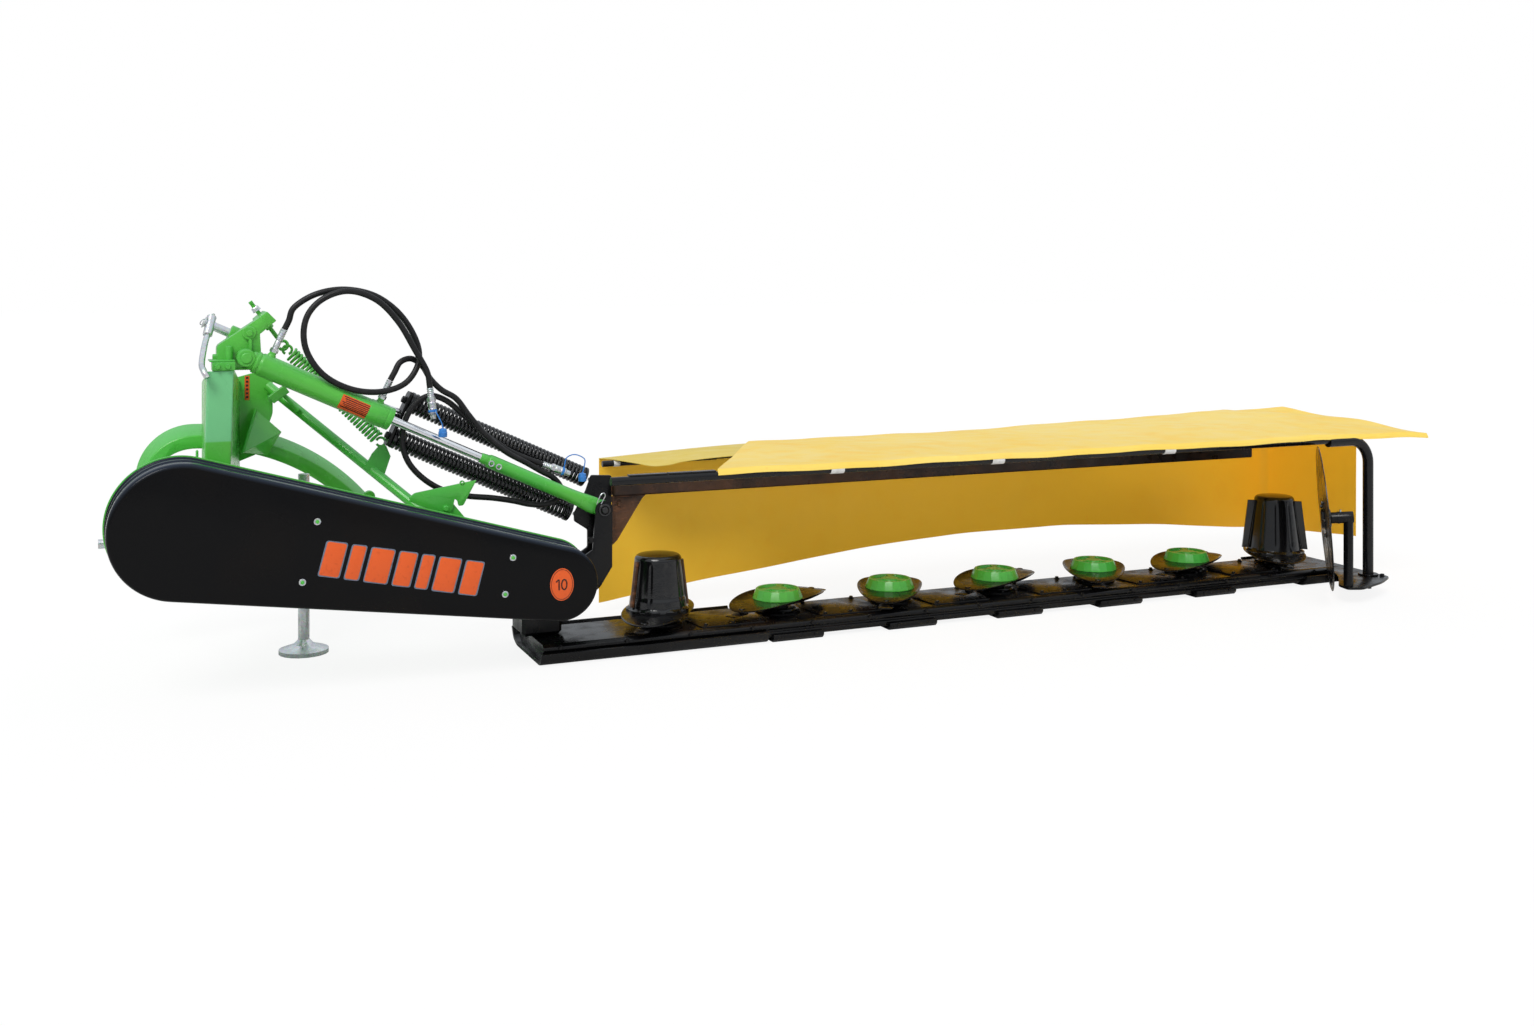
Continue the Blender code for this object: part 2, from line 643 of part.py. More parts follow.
def make_carrier():
    """Carrier beam with the pivot ring, shaft boss and lug plate, and the brace that stays it."""
    span = Vector((PIVOT_X - DRIVE_X, PIVOT_Z - DRIVE_Z))
    across = Vector((-span.y, span.x)).normalized() * BEAM_HEIGHT / 2
    big, small = Vector((DRIVE_X, DRIVE_Z)), Vector((PIVOT_X, PIVOT_Z))
    outline = [tuple(big + across), tuple(big - across), tuple(small - across), tuple(small + across)]
    beam = plate("XZ", [outline], BEAM_REAR_Y, BEAM_FRONT_Y)
    boss = rod((DRIVE_X, BEAM_REAR_Y + RING_INSET, DRIVE_Z), (DRIVE_X, BEAM_FRONT_Y + RING_INSET, DRIVE_Z),
               RING_RADIUS, sides=24)
    ring = rod((PIVOT_X, BEAM_REAR_Y + RING_INSET, PIVOT_Z), (PIVOT_X, BEAM_FRONT_Y - RING_INSET, PIVOT_Z),
               RING_RADIUS, sides=24)
    lug = plate("XZ", [[(-0.770, beam_z(-0.770)), (-0.590, beam_z(-0.590)), (-0.600, 0.420), (-0.640, LUG_TOP_Z),
                        (-0.700, LUG_TOP_Z), (-0.740, LUG_TOP_Z - 0.030)]],
                BEAM_FRONT_Y - LUG_THICKNESS, BEAM_FRONT_Y - 2 * RING_INSET)
    hook_bore = rod((HOOK_X, BEAM_REAR_Y, HOOK_Z), (HOOK_X, BEAM_FRONT_Y + 0.01, HOOK_Z),
                    HOOK_PIN_RADIUS + CLEARANCE, sides=12)
    shaft_bore = rod((DRIVE_X, BEAM_REAR_Y - 0.01, DRIVE_Z), (DRIVE_X, BEAM_FRONT_Y + 0.01, DRIVE_Z),
                     SHAFT_RADIUS + CLEARANCE, sides=20)
    neck_bore = rod((PIVOT_X, BEAM_REAR_Y - 0.01, PIVOT_Z), (PIVOT_X, BEAM_FRONT_Y + 0.01, PIVOT_Z),
                    NECK_RADIUS + NECK_TURNING_GAP, sides=24)
    name_part(weld(beam, [boss, ring, lug], [hook_bore, shaft_bore, neck_bore]), "carrier_beam", GREEN)

    brace_low = Vector((BRACE_LOW[0], BEAM_FRONT_Y + BRACE_RADIUS - WELD, BRACE_LOW[1]))
    brace_high = Vector((BRACE_HIGH[0], ARCH_REAR_Y - MAST_WALL - CLEARANCE - BRACE_RADIUS + WELD, BRACE_HIGH[1]))
    brace = rod(brace_high, brace_low, BRACE_RADIUS)
    lug_plate = plate("XZ", [[(-0.860, 0.560), (-0.810, 0.515), (-0.785, 0.590), (-0.798, 0.622), (-0.818, 0.622),
                              (-0.838, 0.600)]], BRACE_LUG_Y, BRACE_LUG_Y + BRACE_LUG_THICKNESS)
    name_part(weld(brace, [lug_plate]), "brace_tube", GREEN)

    hook_axis = axis_empty("transport_hook_axis", (HOOK_X, BEAM_FRONT_Y, HOOK_Z))
    near = BEAM_FRONT_Y - LUG_THICKNESS - CLEARANCE
    hook = plate("XZ", [[(-0.700, 0.440), (-0.640, 0.435), (-0.600, 0.462), (-0.572, 0.475), (-0.565, 0.530),
                         (-0.580, 0.530), (-0.592, 0.497), (-0.635, 0.490), (-0.665, 0.497), (-0.690, 0.480)]],
                 near - HOOK_THICKNESS, near)
    hook_pin = rod((HOOK_X, near - 0.002, HOOK_Z), (HOOK_X, BEAM_FRONT_Y + 0.006, HOOK_Z), HOOK_PIN_RADIUS,
                   sides=12)
    name_part(weld(hook, [hook_pin]), "transport_hook", GREEN, hook_axis)
    make_stand()


def make_stand():
    """The sleeve on the mast's side and the parking stand that slides in it."""
    side_x = MAST_X + MAST_WIDTH / 2 + CLEARANCE
    outer = STAND_RADIUS + CLEARANCE + SLEEVE_WALL
    sleeve = rod((STAND_X, STAND_Y, SLEEVE_BOTTOM_Z), (STAND_X, STAND_Y, SLEEVE_TOP_Z), outer, sides=20)
    top = SLEEVE_TOP_Z + SLEEVE_COLLAR
    half = SLEEVE_ARM_WIDTH / 2
    arm_top = top - 0.001
    arm = box((side_x, STAND_Y - half, arm_top - SLEEVE_ARM_HEIGHT), (STAND_X + 0.010, STAND_Y + half, arm_top))
    collar = rod((STAND_X, STAND_Y, SLEEVE_TOP_Z - WELD), (STAND_X, STAND_Y, top), outer - 0.001, sides=20)
    bore = rod((STAND_X, STAND_Y, SLEEVE_BOTTOM_Z - 0.01), (STAND_X, STAND_Y, top + 0.02),
               STAND_RADIUS + CLEARANCE, sides=20)
    name_part(weld(sleeve, [collar, arm], [bore]), "stand_sleeve", GREEN)
    stand_axis = axis_empty("parking_stand_axis", (STAND_X, STAND_Y, 0.0))
    profile = [(0.0, STAND_TOP_Z), (STAND_RADIUS, STAND_TOP_Z), (STAND_RADIUS, 0.040), (0.030, 0.026),
               (STAND_FOOT_RADIUS, 0.012), (STAND_FOOT_RADIUS, 0.0), (0.0, 0.0)]
    name_part(turned(profile, (STAND_X, STAND_Y, 0.0), (0, 0, 1), 20), "parking_stand", STEEL, stand_axis)


def make_belt_drive():
    """Guard, pulleys, belt and input shaft."""
    outline = loop_outline(GUARD_BIG_RADIUS, GUARD_SMALL_RADIUS)
    hollow = loop_outline(GUARD_BIG_RADIUS - GUARD_WALL, GUARD_SMALL_RADIUS - GUARD_WALL)
    cover = bevel(plate("XZ", [outline], GUARD_OUTER_Y, GUARD_INNER_Y), 0.006)
    inside = plate("XZ", [hollow], GUARD_OUTER_Y + GUARD_WALL, GUARD_INNER_Y + 0.02)
    name_part(weld(cover, [], [inside]), "guard_cover", BLACK)

    rim = loop_outline(GUARD_BIG_RADIUS + BACK_PLATE_RIM, GUARD_SMALL_RADIUS + BACK_PLATE_RIM)
    back = plate("XZ", [rim], BACK_PLATE_Y, BACK_PLATE_Y + BACK_PLATE_THICKNESS)
    holes = []
    for x, z in ((DRIVE_X, DRIVE_Z), (PIVOT_X, PIVOT_Z)):
        holes.append(rod((x, BACK_PLATE_Y - 0.01, z), (x, BACK_PLATE_Y + 0.02, z), SHAFT_RADIUS + 0.008, sides=20))
    name_part(weld(back, [], holes), "guard_back_plate", GREEN)

    grip = BELT_SEAT
    outer = loop_outline(DRIVE_PULLEY_RADIUS + grip + BELT_THICKNESS, DRIVEN_PULLEY_RADIUS + grip + BELT_THICKNESS)
    inner = loop_outline(DRIVE_PULLEY_RADIUS + grip, DRIVEN_PULLEY_RADIUS + grip, 25, 15)
    belt = plate("XZ", [outer], PULLEY_Y - BELT_WIDTH / 2, PULLEY_Y + BELT_WIDTH / 2)
    gap = plate("XZ", [inner], PULLEY_Y - BELT_WIDTH, PULLEY_Y + BELT_WIDTH)
    name_part(weld(belt, [], [gap]), "drive_belt", RUBBER)

    drive_axis = axis_empty("drive_axis", (DRIVE_X, PULLEY_Y, DRIVE_Z))
    shaft = rod((DRIVE_X, PULLEY_Y - PULLEY_WIDTH / 2, DRIVE_Z), (DRIVE_X, SHAFT_FRONT_Y, DRIVE_Z), SHAFT_RADIUS,
                sides=20)
    name_part(shaft, "input_shaft", STEEL, drive_axis)
    name_part(pulley(DRIVE_X, DRIVE_Z, DRIVE_PULLEY_RADIUS, SHAFT_RADIUS + CLEARANCE), "drive_pulley", IRON,
              drive_axis)
    driven_axis = axis_empty("driven_axis", (PIVOT_X, PULLEY_Y, PIVOT_Z))
    driven = pulley(PIVOT_X, PIVOT_Z, DRIVEN_PULLEY_RADIUS, 0.0)
    stub = rod((PIVOT_X, PULLEY_Y, PIVOT_Z), (PIVOT_X, NECK_REAR_Y - CLEARANCE, PIVOT_Z), SHAFT_RADIUS, sides=20)
    name_part(weld(driven, [stub]), "driven_pulley", IRON, driven_axis)

    housing_start = BEAM_FRONT_Y + RING_INSET + CLEARANCE
    bore = SHAFT_RADIUS + CLEARANCE
    housing_end = HOUSING_FRONT_Y
    length = housing_end - housing_start
    profile = [(bore, length), (HOUSING_RADIUS, length), (HOUSING_RADIUS, length - 0.03), (0.036, length - 0.04),
               (0.036, 0.03), (HOUSING_RADIUS, 0.02), (HOUSING_RADIUS, 0.0), (bore, 0.0)]
    name_part(turned(profile, (DRIVE_X, housing_start, DRIVE_Z), (0, 1, 0)), "bearing_housing", GREEN)


def pulley(x, z, radius, bore):
    """A belt pulley with a dished web, from the guard's outer side towards the beam."""
    half = PULLEY_WIDTH / 2
    edge = radius
    if bore > 0:
        profile = [(bore, half), (bore + 0.020, half), (bore + 0.020, 0.012), (edge - 0.014, 0.012),
                   (edge - 0.014, half), (edge, half), (edge, -half), (edge - 0.014, -half),
                   (edge - 0.014, -0.012), (bore + 0.020, -0.012), (bore + 0.020, -half), (bore, -half)]
    else:
        profile = [(0.0, half), (edge, half), (edge, -half), (0.0, -half)]
    return turned(profile, (x, PULLEY_Y, z), (0, 1, 0), 32)


def make_cylinder(swing):
    """Lift cylinder, its rod and eye, the balance springs, their yoke and tie rod."""
    eye_axis = ((HEAD_X, -0.020, HEAD_Z), (HEAD_X, BRACKET_Y - CLEARANCE, HEAD_Z))
    eye = rod(*eye_axis, HEAD_EYE_RADIUS, sides=20)
    barrel = rod(by_cylinder(BARREL_START), by_cylinder(BARREL_END), BARREL_RADIUS, sides=20)
    barrel_pieces = [barrel]
    for place, height in ((REAR_PORT_AT, REAR_FERRULE_TOP), (GLAND_PORT_AT, GLAND_FERRULE_TOP)):
        barrel_pieces.append(rod(by_cylinder(place, 0.010), by_cylinder(place, 0.058), PORT_RADIUS, sides=12))
        ferrule_end = by_cylinder(place, height - CLEARANCE)
        barrel_pieces.append(rod(by_cylinder(place, 0.056), ferrule_end, FERRULE_RADIUS, sides=12))
    bore = rod((HEAD_X, -0.060, HEAD_Z), (HEAD_X, 0.060, HEAD_Z), HEAD_PIN_RADIUS + CLEARANCE, sides=20)
    cheek_cut = box((-1.30, BRACKET_Y - CLEARANCE, 0.84), (HEAD_X + 0.048, 0.08, 1.02))
    near_cut = box((-1.30, -0.08, 0.80), (HEAD_X + 0.024, -0.020, 1.02))
    rod_bore = rod(by_cylinder(BORE_START), by_cylinder(BARREL_END + 0.02), ROD_RADIUS + CLEARANCE, sides=20)
    name_part(weld(eye, barrel_pieces, [cheek_cut, near_cut, bore, rod_bore]), "cylinder_barrel", GREEN, swing)

    slide = axis_empty("rod_axis", by_cylinder(BARREL_END), swing)
    chrome = rod(by_cylinder(ROD_INNER_END), by_cylinder(ROD_TUBE_START + ROD_SOCKET), ROD_RADIUS, sides=20)
    name_part(chrome, "cylinder_rod", STEEL, slide)
    sleeve = rod(by_cylinder(ROD_TUBE_START), by_cylinder(CYLINDER_LENGTH - EYE_RADIUS * 0.7), ROD_TUBE_RADIUS)
    flat_eye = rod((EYE_X, -EYE_HALF_WIDTH, EYE_Z), (EYE_X, EYE_HALF_WIDTH, EYE_Z), EYE_RADIUS, sides=20)
    socket = rod(by_cylinder(ROD_TUBE_START - 0.01), by_cylinder(ROD_TUBE_START + ROD_SOCKET + CLEARANCE),
                 ROD_RADIUS + CLEARANCE, sides=20)
    eye_bore = rod((EYE_X, -0.05, EYE_Z), (EYE_X, 0.05, EYE_Z), PIN_BORE_RADIUS, sides=16)
    name_part(weld(sleeve, [flat_eye], [socket, eye_bore]), "rod_tube", GREEN, slide)
    make_balance_springs(swing)


def make_balance_springs(swing):
    """Two long coil springs side by side, pulled by a tie rod through a yoke plate."""
    height = UPPER_SPRING_OFFSET - LOWER_SPRING_OFFSET + 0.056
    working = bmesh.new()
    middle = by_cylinder(YOKE_AT, (UPPER_SPRING_OFFSET + LOWER_SPRING_OFFSET) / 2, SPRING_Y + 0.008)
    rows = (tuple(DOWN_CYLINDER) + (0,), (0, 1, 0, 0), tuple(ABOVE_CYLINDER) + (0,), (0, 0, 0, 1))
    frame = Matrix(rows).transposed()
    bmesh.ops.create_cube(working, size=1.0, matrix=Matrix.Translation(middle) @ frame
                          @ Matrix.Diagonal((YOKE_THICKNESS, 0.058, height, 1.0)))
    name_part(from_bmesh(working), "spring_yoke", BLACK, swing)
    for offset, word in ((UPPER_SPRING_OFFSET, "upper"), (LOWER_SPRING_OFFSET, "lower")):
        start = by_cylinder(YOKE_AT + YOKE_THICKNESS / 2 + CLEARANCE, offset, SPRING_Y)
        end = by_cylinder(SPRING_ANCHOR_AT - STUD_RADIUS - CLEARANCE, offset, SPRING_Y)
        make_spring(start, end, SPRING_RADIUS, 0.006, SPRING_RIBS, "balance_spring_" + word, BLACK, swing)
    eye_y = (BRACKET_Y + BRACKET_THICKNESS + CLEARANCE, BRACKET_Y + BRACKET_THICKNESS + 0.016)
    ring = rod((HEAD_X, eye_y[0], HEAD_Z), (HEAD_X, eye_y[1], HEAD_Z), 0.021, sides=20)
    stem_y = (eye_y[0] + eye_y[1]) / 2
    stem = rod(by_cylinder(0.017, 0.0, stem_y), by_cylinder(YOKE_AT - YOKE_THICKNESS / 2 - 0.0008, 0.030, stem_y),
               0.007, sides=12)
    bore = rod((HEAD_X, 0.05, HEAD_Z), (HEAD_X, 0.12, HEAD_Z), HEAD_PIN_RADIUS + CLEARANCE, sides=20)
    name_part(weld(ring, [stem], [bore]), "tie_rod", STEEL, swing)


def coupler_profile():
    """A quick coupler's outline from its tip down to the hose: a sleeve, a neck for the strap and a ferrule."""
    neck_low = STRAP_RING_AT - CLEARANCE
    neck_high = STRAP_RING_AT + STRAP_RING_WIDTH + CLEARANCE
    return [(0.0, COUPLER_LENGTH), (COUPLER_TIP_RADIUS, COUPLER_LENGTH), (COUPLER_TIP_RADIUS, neck_high + 0.006),
            (COUPLER_RADIUS, neck_high + 0.004), (COUPLER_RADIUS, neck_high), (COUPLER_NECK_RADIUS, neck_high),
            (COUPLER_NECK_RADIUS, neck_low), (COUPLER_RADIUS, neck_low), (COUPLER_RADIUS, 0.030),
            (FERRULE_RADIUS, 0.026), (FERRULE_RADIUS, 0.0), (0.0, 0.0)]


def make_hoses(swing):
    """Two hoses out of the cylinder's ports, each with its coupler and a dust cap on a strap."""
    for word, route, strap in (("a", HOSE_A_ROUTE, STRAP_A_ROUTE), ("b", HOSE_B_ROUTE, STRAP_B_ROUTE)):
        points = smooth(route, 2)
        name_part(tube(points, HOSE_RADIUS), "hose_" + word, RUBBER, swing)
        line = (points[-1] - points[-2]).normalized()
        start = points[-1] + line * CLEARANCE
        name_part(turned(coupler_profile(), start, line, 12), "coupler_" + word, STEEL, swing)

        inner = COUPLER_NECK_RADIUS + CLEARANCE
        outer = COUPLER_RADIUS + CLEARANCE
        low, high = STRAP_RING_AT, STRAP_RING_AT + STRAP_RING_WIDTH
        ring = turned([(inner, high), (outer, high), (outer, low), (inner, low)], start, line, 12)
        middle = start + line * (low + high) / 2
        aside = Vector(strap[0]) - middle
        aside = (aside - line * aside.dot(line)).normalized()
        ribbon = tube(smooth([middle + aside * (inner + outer) / 2, middle + aside * outer * 1.3, *strap], 2),
                      STRAP_RADIUS)
        cap_top = Vector(strap[-1]) + Vector((0, 0, WELD))
        cap = rod(cap_top, cap_top - Vector((0, 0, DUST_CAP_HEIGHT)), DUST_CAP_RADIUS)
        name_part(weld(ring, [ribbon, cap]), "dust_cap_" + word, BLUE, swing)


def make_gearbox(fold):
    """Bevel gearbox with its pivot neck, and the hinge bracket with two ears and the spring studs."""
    housing = bevel(box((PIVOT_X - GEARBOX_HALF_X, GEARBOX_REAR_Y, BAR_TOP_Z + CLEARANCE),
                        (PIVOT_X + GEARBOX_HALF_X, GEARBOX_FRONT_Y, GEARBOX_TOP_Z)), 0.010)
    neck = rod((PIVOT_X, NECK_REAR_Y, PIVOT_Z), (PIVOT_X, GEARBOX_REAR_Y + 0.010, PIVOT_Z), NECK_RADIUS, sides=24)
    name_part(weld(housing, [neck]), "gearbox", BLACK, fold)

    side_x = PIVOT_X + GEARBOX_HALF_X + CLEARANCE
    base = box((side_x, BEAM_FRONT_Y + RING_INSET, 0.125), (side_x + 0.050, 0.060, 0.285))
    near_ear = [(side_x + 0.004, 0.130), (side_x + 0.045, 0.130), (EYE_X + 0.022, 0.310)]
    near_ear += arc((EYE_X, EYE_Z), 0.027, 0, 180, 9) + [(side_x + 0.045, 0.330), (side_x + 0.004, 0.270)]
    plate_x = COVER_BEAM_START_X - CLEARANCE
    far_ear = [(side_x + 0.004, 0.132), (side_x + 0.045, 0.132), (plate_x - 0.012, 0.300),
               (plate_x - 0.001, 0.400), (plate_x - 0.001, 0.512), (-0.205, 0.516), (-0.262, 0.402),
               (side_x + 0.045, 0.330), (side_x + 0.004, 0.268)]
    near = plate("XZ", [near_ear], -EAR_GAP - EAR_THICKNESS, -EAR_GAP)
    far = plate("XZ", [far_ear], EAR_GAP, EAR_GAP + EAR_THICKNESS)
    beam_plate = box((plate_x - BEAM_PLATE_THICKNESS, EAR_GAP, 0.430), (plate_x, BEAM_PLATE_FRONT_Y, 0.505))
    studs = []
    for offset in (UPPER_SPRING_OFFSET, LOWER_SPRING_OFFSET):
        place = by_cylinder(SPRING_ANCHOR_AT, offset)
        studs.append(rod((place.x, EAR_GAP + 0.004, place.z), (place.x, SPRING_Y + 0.018, place.z), STUD_RADIUS,
                         sides=12))
    pin_stub = rod((EYE_X, -EAR_GAP - EAR_THICKNESS - 0.010, EYE_Z), (EYE_X, -EAR_GAP - 0.004, EYE_Z),
                   PIN_BORE_RADIUS - 0.0005, sides=12)
    name_part(weld(base, [near, far, beam_plate, pin_stub] + studs), "hinge_bracket", BLACK, fold)


def make_bar(fold):
    """Cutter bar with its rotor seats and the skids under the inner rotors."""
    section = [(BAR_REAR_Y, BAR_BOTTOM_Z + 0.016), (BAR_REAR_Y, BAR_TOP_Z - 0.010), (BAR_REAR_Y + 0.014, BAR_TOP_Z),
               (BAR_FRONT_Y - 0.022, BAR_TOP_Z), (BAR_FRONT_Y, BAR_TOP_Z - 0.018), (BAR_FRONT_Y, BAR_BOTTOM_Z + 0.014),
               (BAR_FRONT_Y - 0.022, BAR_BOTTOM_Z), (BAR_REAR_Y + 0.016, BAR_BOTTOM_Z)]
    bar = plate("YZ", [section], BAR_START_X, BAR_END_X)
    extras = []
    for i in range(ROTOR_COUNT):
        extras.append(rod((rotor_x(i), 0, BAR_TOP_Z - 0.006), (rotor_x(i), 0, SEAT_TOP_Z), SEAT_RADIUS, sides=20))
    for i in range(1, ROTOR_COUNT - 1):
        low = (rotor_x(i) - SKID_HALF_WIDTH, BAR_REAR_Y - 0.014, 0.0)
        high = (rotor_x(i) + SKID_HALF_WIDTH, BAR_FRONT_Y + 0.010, SOLE_THICKNESS + 0.004)
        extras.append(box(low, high))
    name_part(weld(bar, extras), "cutter_bar", BLACK, fold)


def shoe_section(nose):
    """The side outline of a shoe: a flat sole with a low heel and a raised nose, as (y, z) points."""
    heel = BAR_REAR_Y - 0.020
    thick = SOLE_THICKNESS
    return [(heel, 0.036), (heel + 0.014, 0.006), (heel + 0.030, 0.0), (nose - 0.060, 0.0), (nose - 0.022, 0.013),
            (nose, 0.046), (nose - 0.010, 0.049), (nose - 0.032, 0.022), (nose - 0.064, thick),
            (heel + 0.034, thick), (heel + 0.024, 0.014), (heel + 0.008, 0.038)]


def swath_outward():
    """The direction from the swath disc's cutting side to its post, which rises a little."""
    toe = math.radians(SWATH_TOE_DEG)
    return Vector((math.cos(toe), math.sin(toe), SWATH_LEAN)).normalized()


def swath_post_place():
    """The point of the swath post's axis that is level with the disc's centre."""
    return SWATH_CENTRE + swath_outward() * (SWATH_STUB + SWATH_POST_RADIUS)


def make_shoes(fold):
    """Inner shoe and outer shoe, with the tail plate that carries the hoop and the swath post."""
    inner = plate("YZ", [shoe_section(BAR_FRONT_Y + 0.062)], INNER_SHOE_START_X, INNER_SHOE_END_X)
    name_part(inner, "inner_shoe", BLACK, fold)
    sole = plate("YZ", [shoe_section(BAR_FRONT_Y + 0.062)], OUTER_SHOE_START_X, OUTER_SHOE_END_X)
    tail_top = BAR_TOP_Z
    front_y = BAR_REAR_Y - RING_INSET
    right_x = HOOP_X + TAIL_WIDTH / 2
    post = swath_post_place()
    left_x = post.x - SWATH_POST_RADIUS - 0.008
    outline = [(right_x, front_y), (right_x, TAIL_REAR_Y), (right_x - 0.095, TAIL_REAR_Y - 0.060),
               (post.x + 0.025, post.y - 0.042), (left_x, post.y - 0.022), (left_x + 0.012, post.y + 0.033),
               (post.x + 0.085, post.y + 0.133), (right_x - 0.075, front_y)]
    tail = plate("XY", [outline], tail_top - TAIL_THICKNESS, tail_top)
    web = box((HOOP_X - 0.006, TAIL_REAR_Y + 0.040, 0.010), (HOOP_X + 0.006, front_y, tail_top - 0.004))
    name_part(weld(sole, [tail, web]), "outer_shoe", BLACK, fold)


def disc_height(u, w, wing_rise):
    """How far a disc's sheet lies above its flat middle, at (u, w) on the unit disc."""
    reach = max(0.0, math.hypot(u, w) - DISC_FLAT_SHARE) / (1 - DISC_FLAT_SHARE)
    return wing_rise * reach ** 2 * w * w - DISC_DROOP * reach * u * u


def disc_mesh(wing_rise):
    """One oval disc with its hub below and two knives under its ends, about its own axis at z = 0."""
    working = bmesh.new()
    bmesh.ops.create_grid(working, x_segments=DISC_CELLS, y_segments=DISC_CELLS, size=1.0)
    for vertex in working.verts:
        a = math.copysign(abs(vertex.co.x) ** DISC_CELL_SPREAD, vertex.co.x)
        b = math.copysign(abs(vertex.co.y) ** DISC_CELL_SPREAD, vertex.co.y)
        u, w = a * math.sqrt(1 - b * b / 2), b * math.sqrt(1 - a * a / 2)
        vertex.co = Vector((u * DISC_LONG, w * DISC_SHORT, disc_height(u, w, wing_rise)))
    sheet = from_bmesh(working)
    thick = sheet.modifiers.new("thickness", "SOLIDIFY")
    thick.thickness = DISC_THICKNESS
    thick.offset = -1.0
    hub = rod((0, 0, CLEARANCE - DISC_LIFT), (0, 0, -DISC_THICKNESS / 2), DISC_HUB_RADIUS, sides=20)
    knives = []
    for side in (-1, 1):
        bolt = side * KNIFE_BOLT_RADIUS
        reach = bolt + side * KNIFE_LENGTH * 0.65
        top = -DISC_DROOP - DISC_THICKNESS - 0.004
        low = (min(bolt - side * 0.014, reach), -KNIFE_WIDTH / 2, top - KNIFE_THICKNESS)
        high = (max(bolt - side * 0.014, reach), KNIFE_WIDTH / 2, top)
        knives.append(box(low, high))
        knives.append(rod((bolt, 0, top - KNIFE_THICKNESS - 0.002), (bolt, 0, -DISC_DROOP + 0.004), 0.010,
                          sides=10))
    weld(sheet, [hub] + knives)
    bpy.context.view_layer.update()
    mesh = bpy.data.meshes.new_from_object(sheet.evaluated_get(bpy.context.evaluated_depsgraph_get()))
    for used in [sheet, hub] + knives:
        bpy.data.objects.remove(used, do_unlink=True)
    return mesh


def make_rotors(fold):
    """Seven discs, the inner and outer cones and five caps, each disc a quarter turn out of step with the next."""
    winged, plain = disc_mesh(DISC_WING_RISE), disc_mesh(0.0)
    for i in range(ROTOR_COUNT):
        at_end = i in (0, ROTOR_COUNT - 1)
        axis = axis_empty("rotor_axis_" + str(i + 1), (rotor_x(i), 0, DISC_TOP_Z), fold)
        disc = shape((plain if at_end else winged).copy())
        phase = DISC_PHASE_DEG if i % 2 else 90 - DISC_PHASE_DEG
        turn = Matrix.Rotation(math.radians(phase), 4, "Z")
        disc.matrix_world = Matrix.Translation((rotor_x(i), 0, DISC_TOP_Z)) @ turn
        name_part(disc, "disc_" + str(i + 1), BLACK, axis)
        place = (rotor_x(i), 0, DISC_TOP_Z + CLEARANCE)
        if at_end:
            cone = INNER_CONE if i == 0 else OUTER_CONE
            profile = [(0.0, cone["height"]), (cone["top"] - 0.008, cone["height"]),
                       (cone["top"], cone["height"] - 0.008), (cone["base"], 0.012), (cone["base"] + 0.004, 0.010),
                       (cone["base"] + 0.004, 0.0), (0.0, 0.0)]
            word = "inner_cone" if i == 0 else "outer_cone"
            name_part(turned(profile, place, (0, 0, 1)), word, BLACK, axis)
        else:
            profile = [(0.0, CAP_HEIGHT), (CAP_TOP_RADIUS - 0.006, CAP_HEIGHT), (CAP_TOP_RADIUS, CAP_HEIGHT - 0.004),
                       (CAP_RADIUS, 0.010), (CAP_RADIUS, 0.0), (0.0, 0.0)]
            name_part(turned(profile, place, (0, 0, 1)), "cap_" + str(i + 1), GREEN, axis)


def canopy_z(x, y):
    """The underside of the canopy: straight from the rear rail to the front rail, which climbs outwards."""
    share = (y - RAIL_Y) / (CANOPY_FAR_Y - RAIL_Y)
    near = RAIL_TOP_Z + CANOPY_GAP
    climb = (x - CANOPY_START_X) / (CANOPY_END_X - CANOPY_START_X)
    far = CANOPY_FAR_START_Z + (CANOPY_FAR_END_Z - CANOPY_FAR_START_Z) * climb
    return near + (far - near) * share


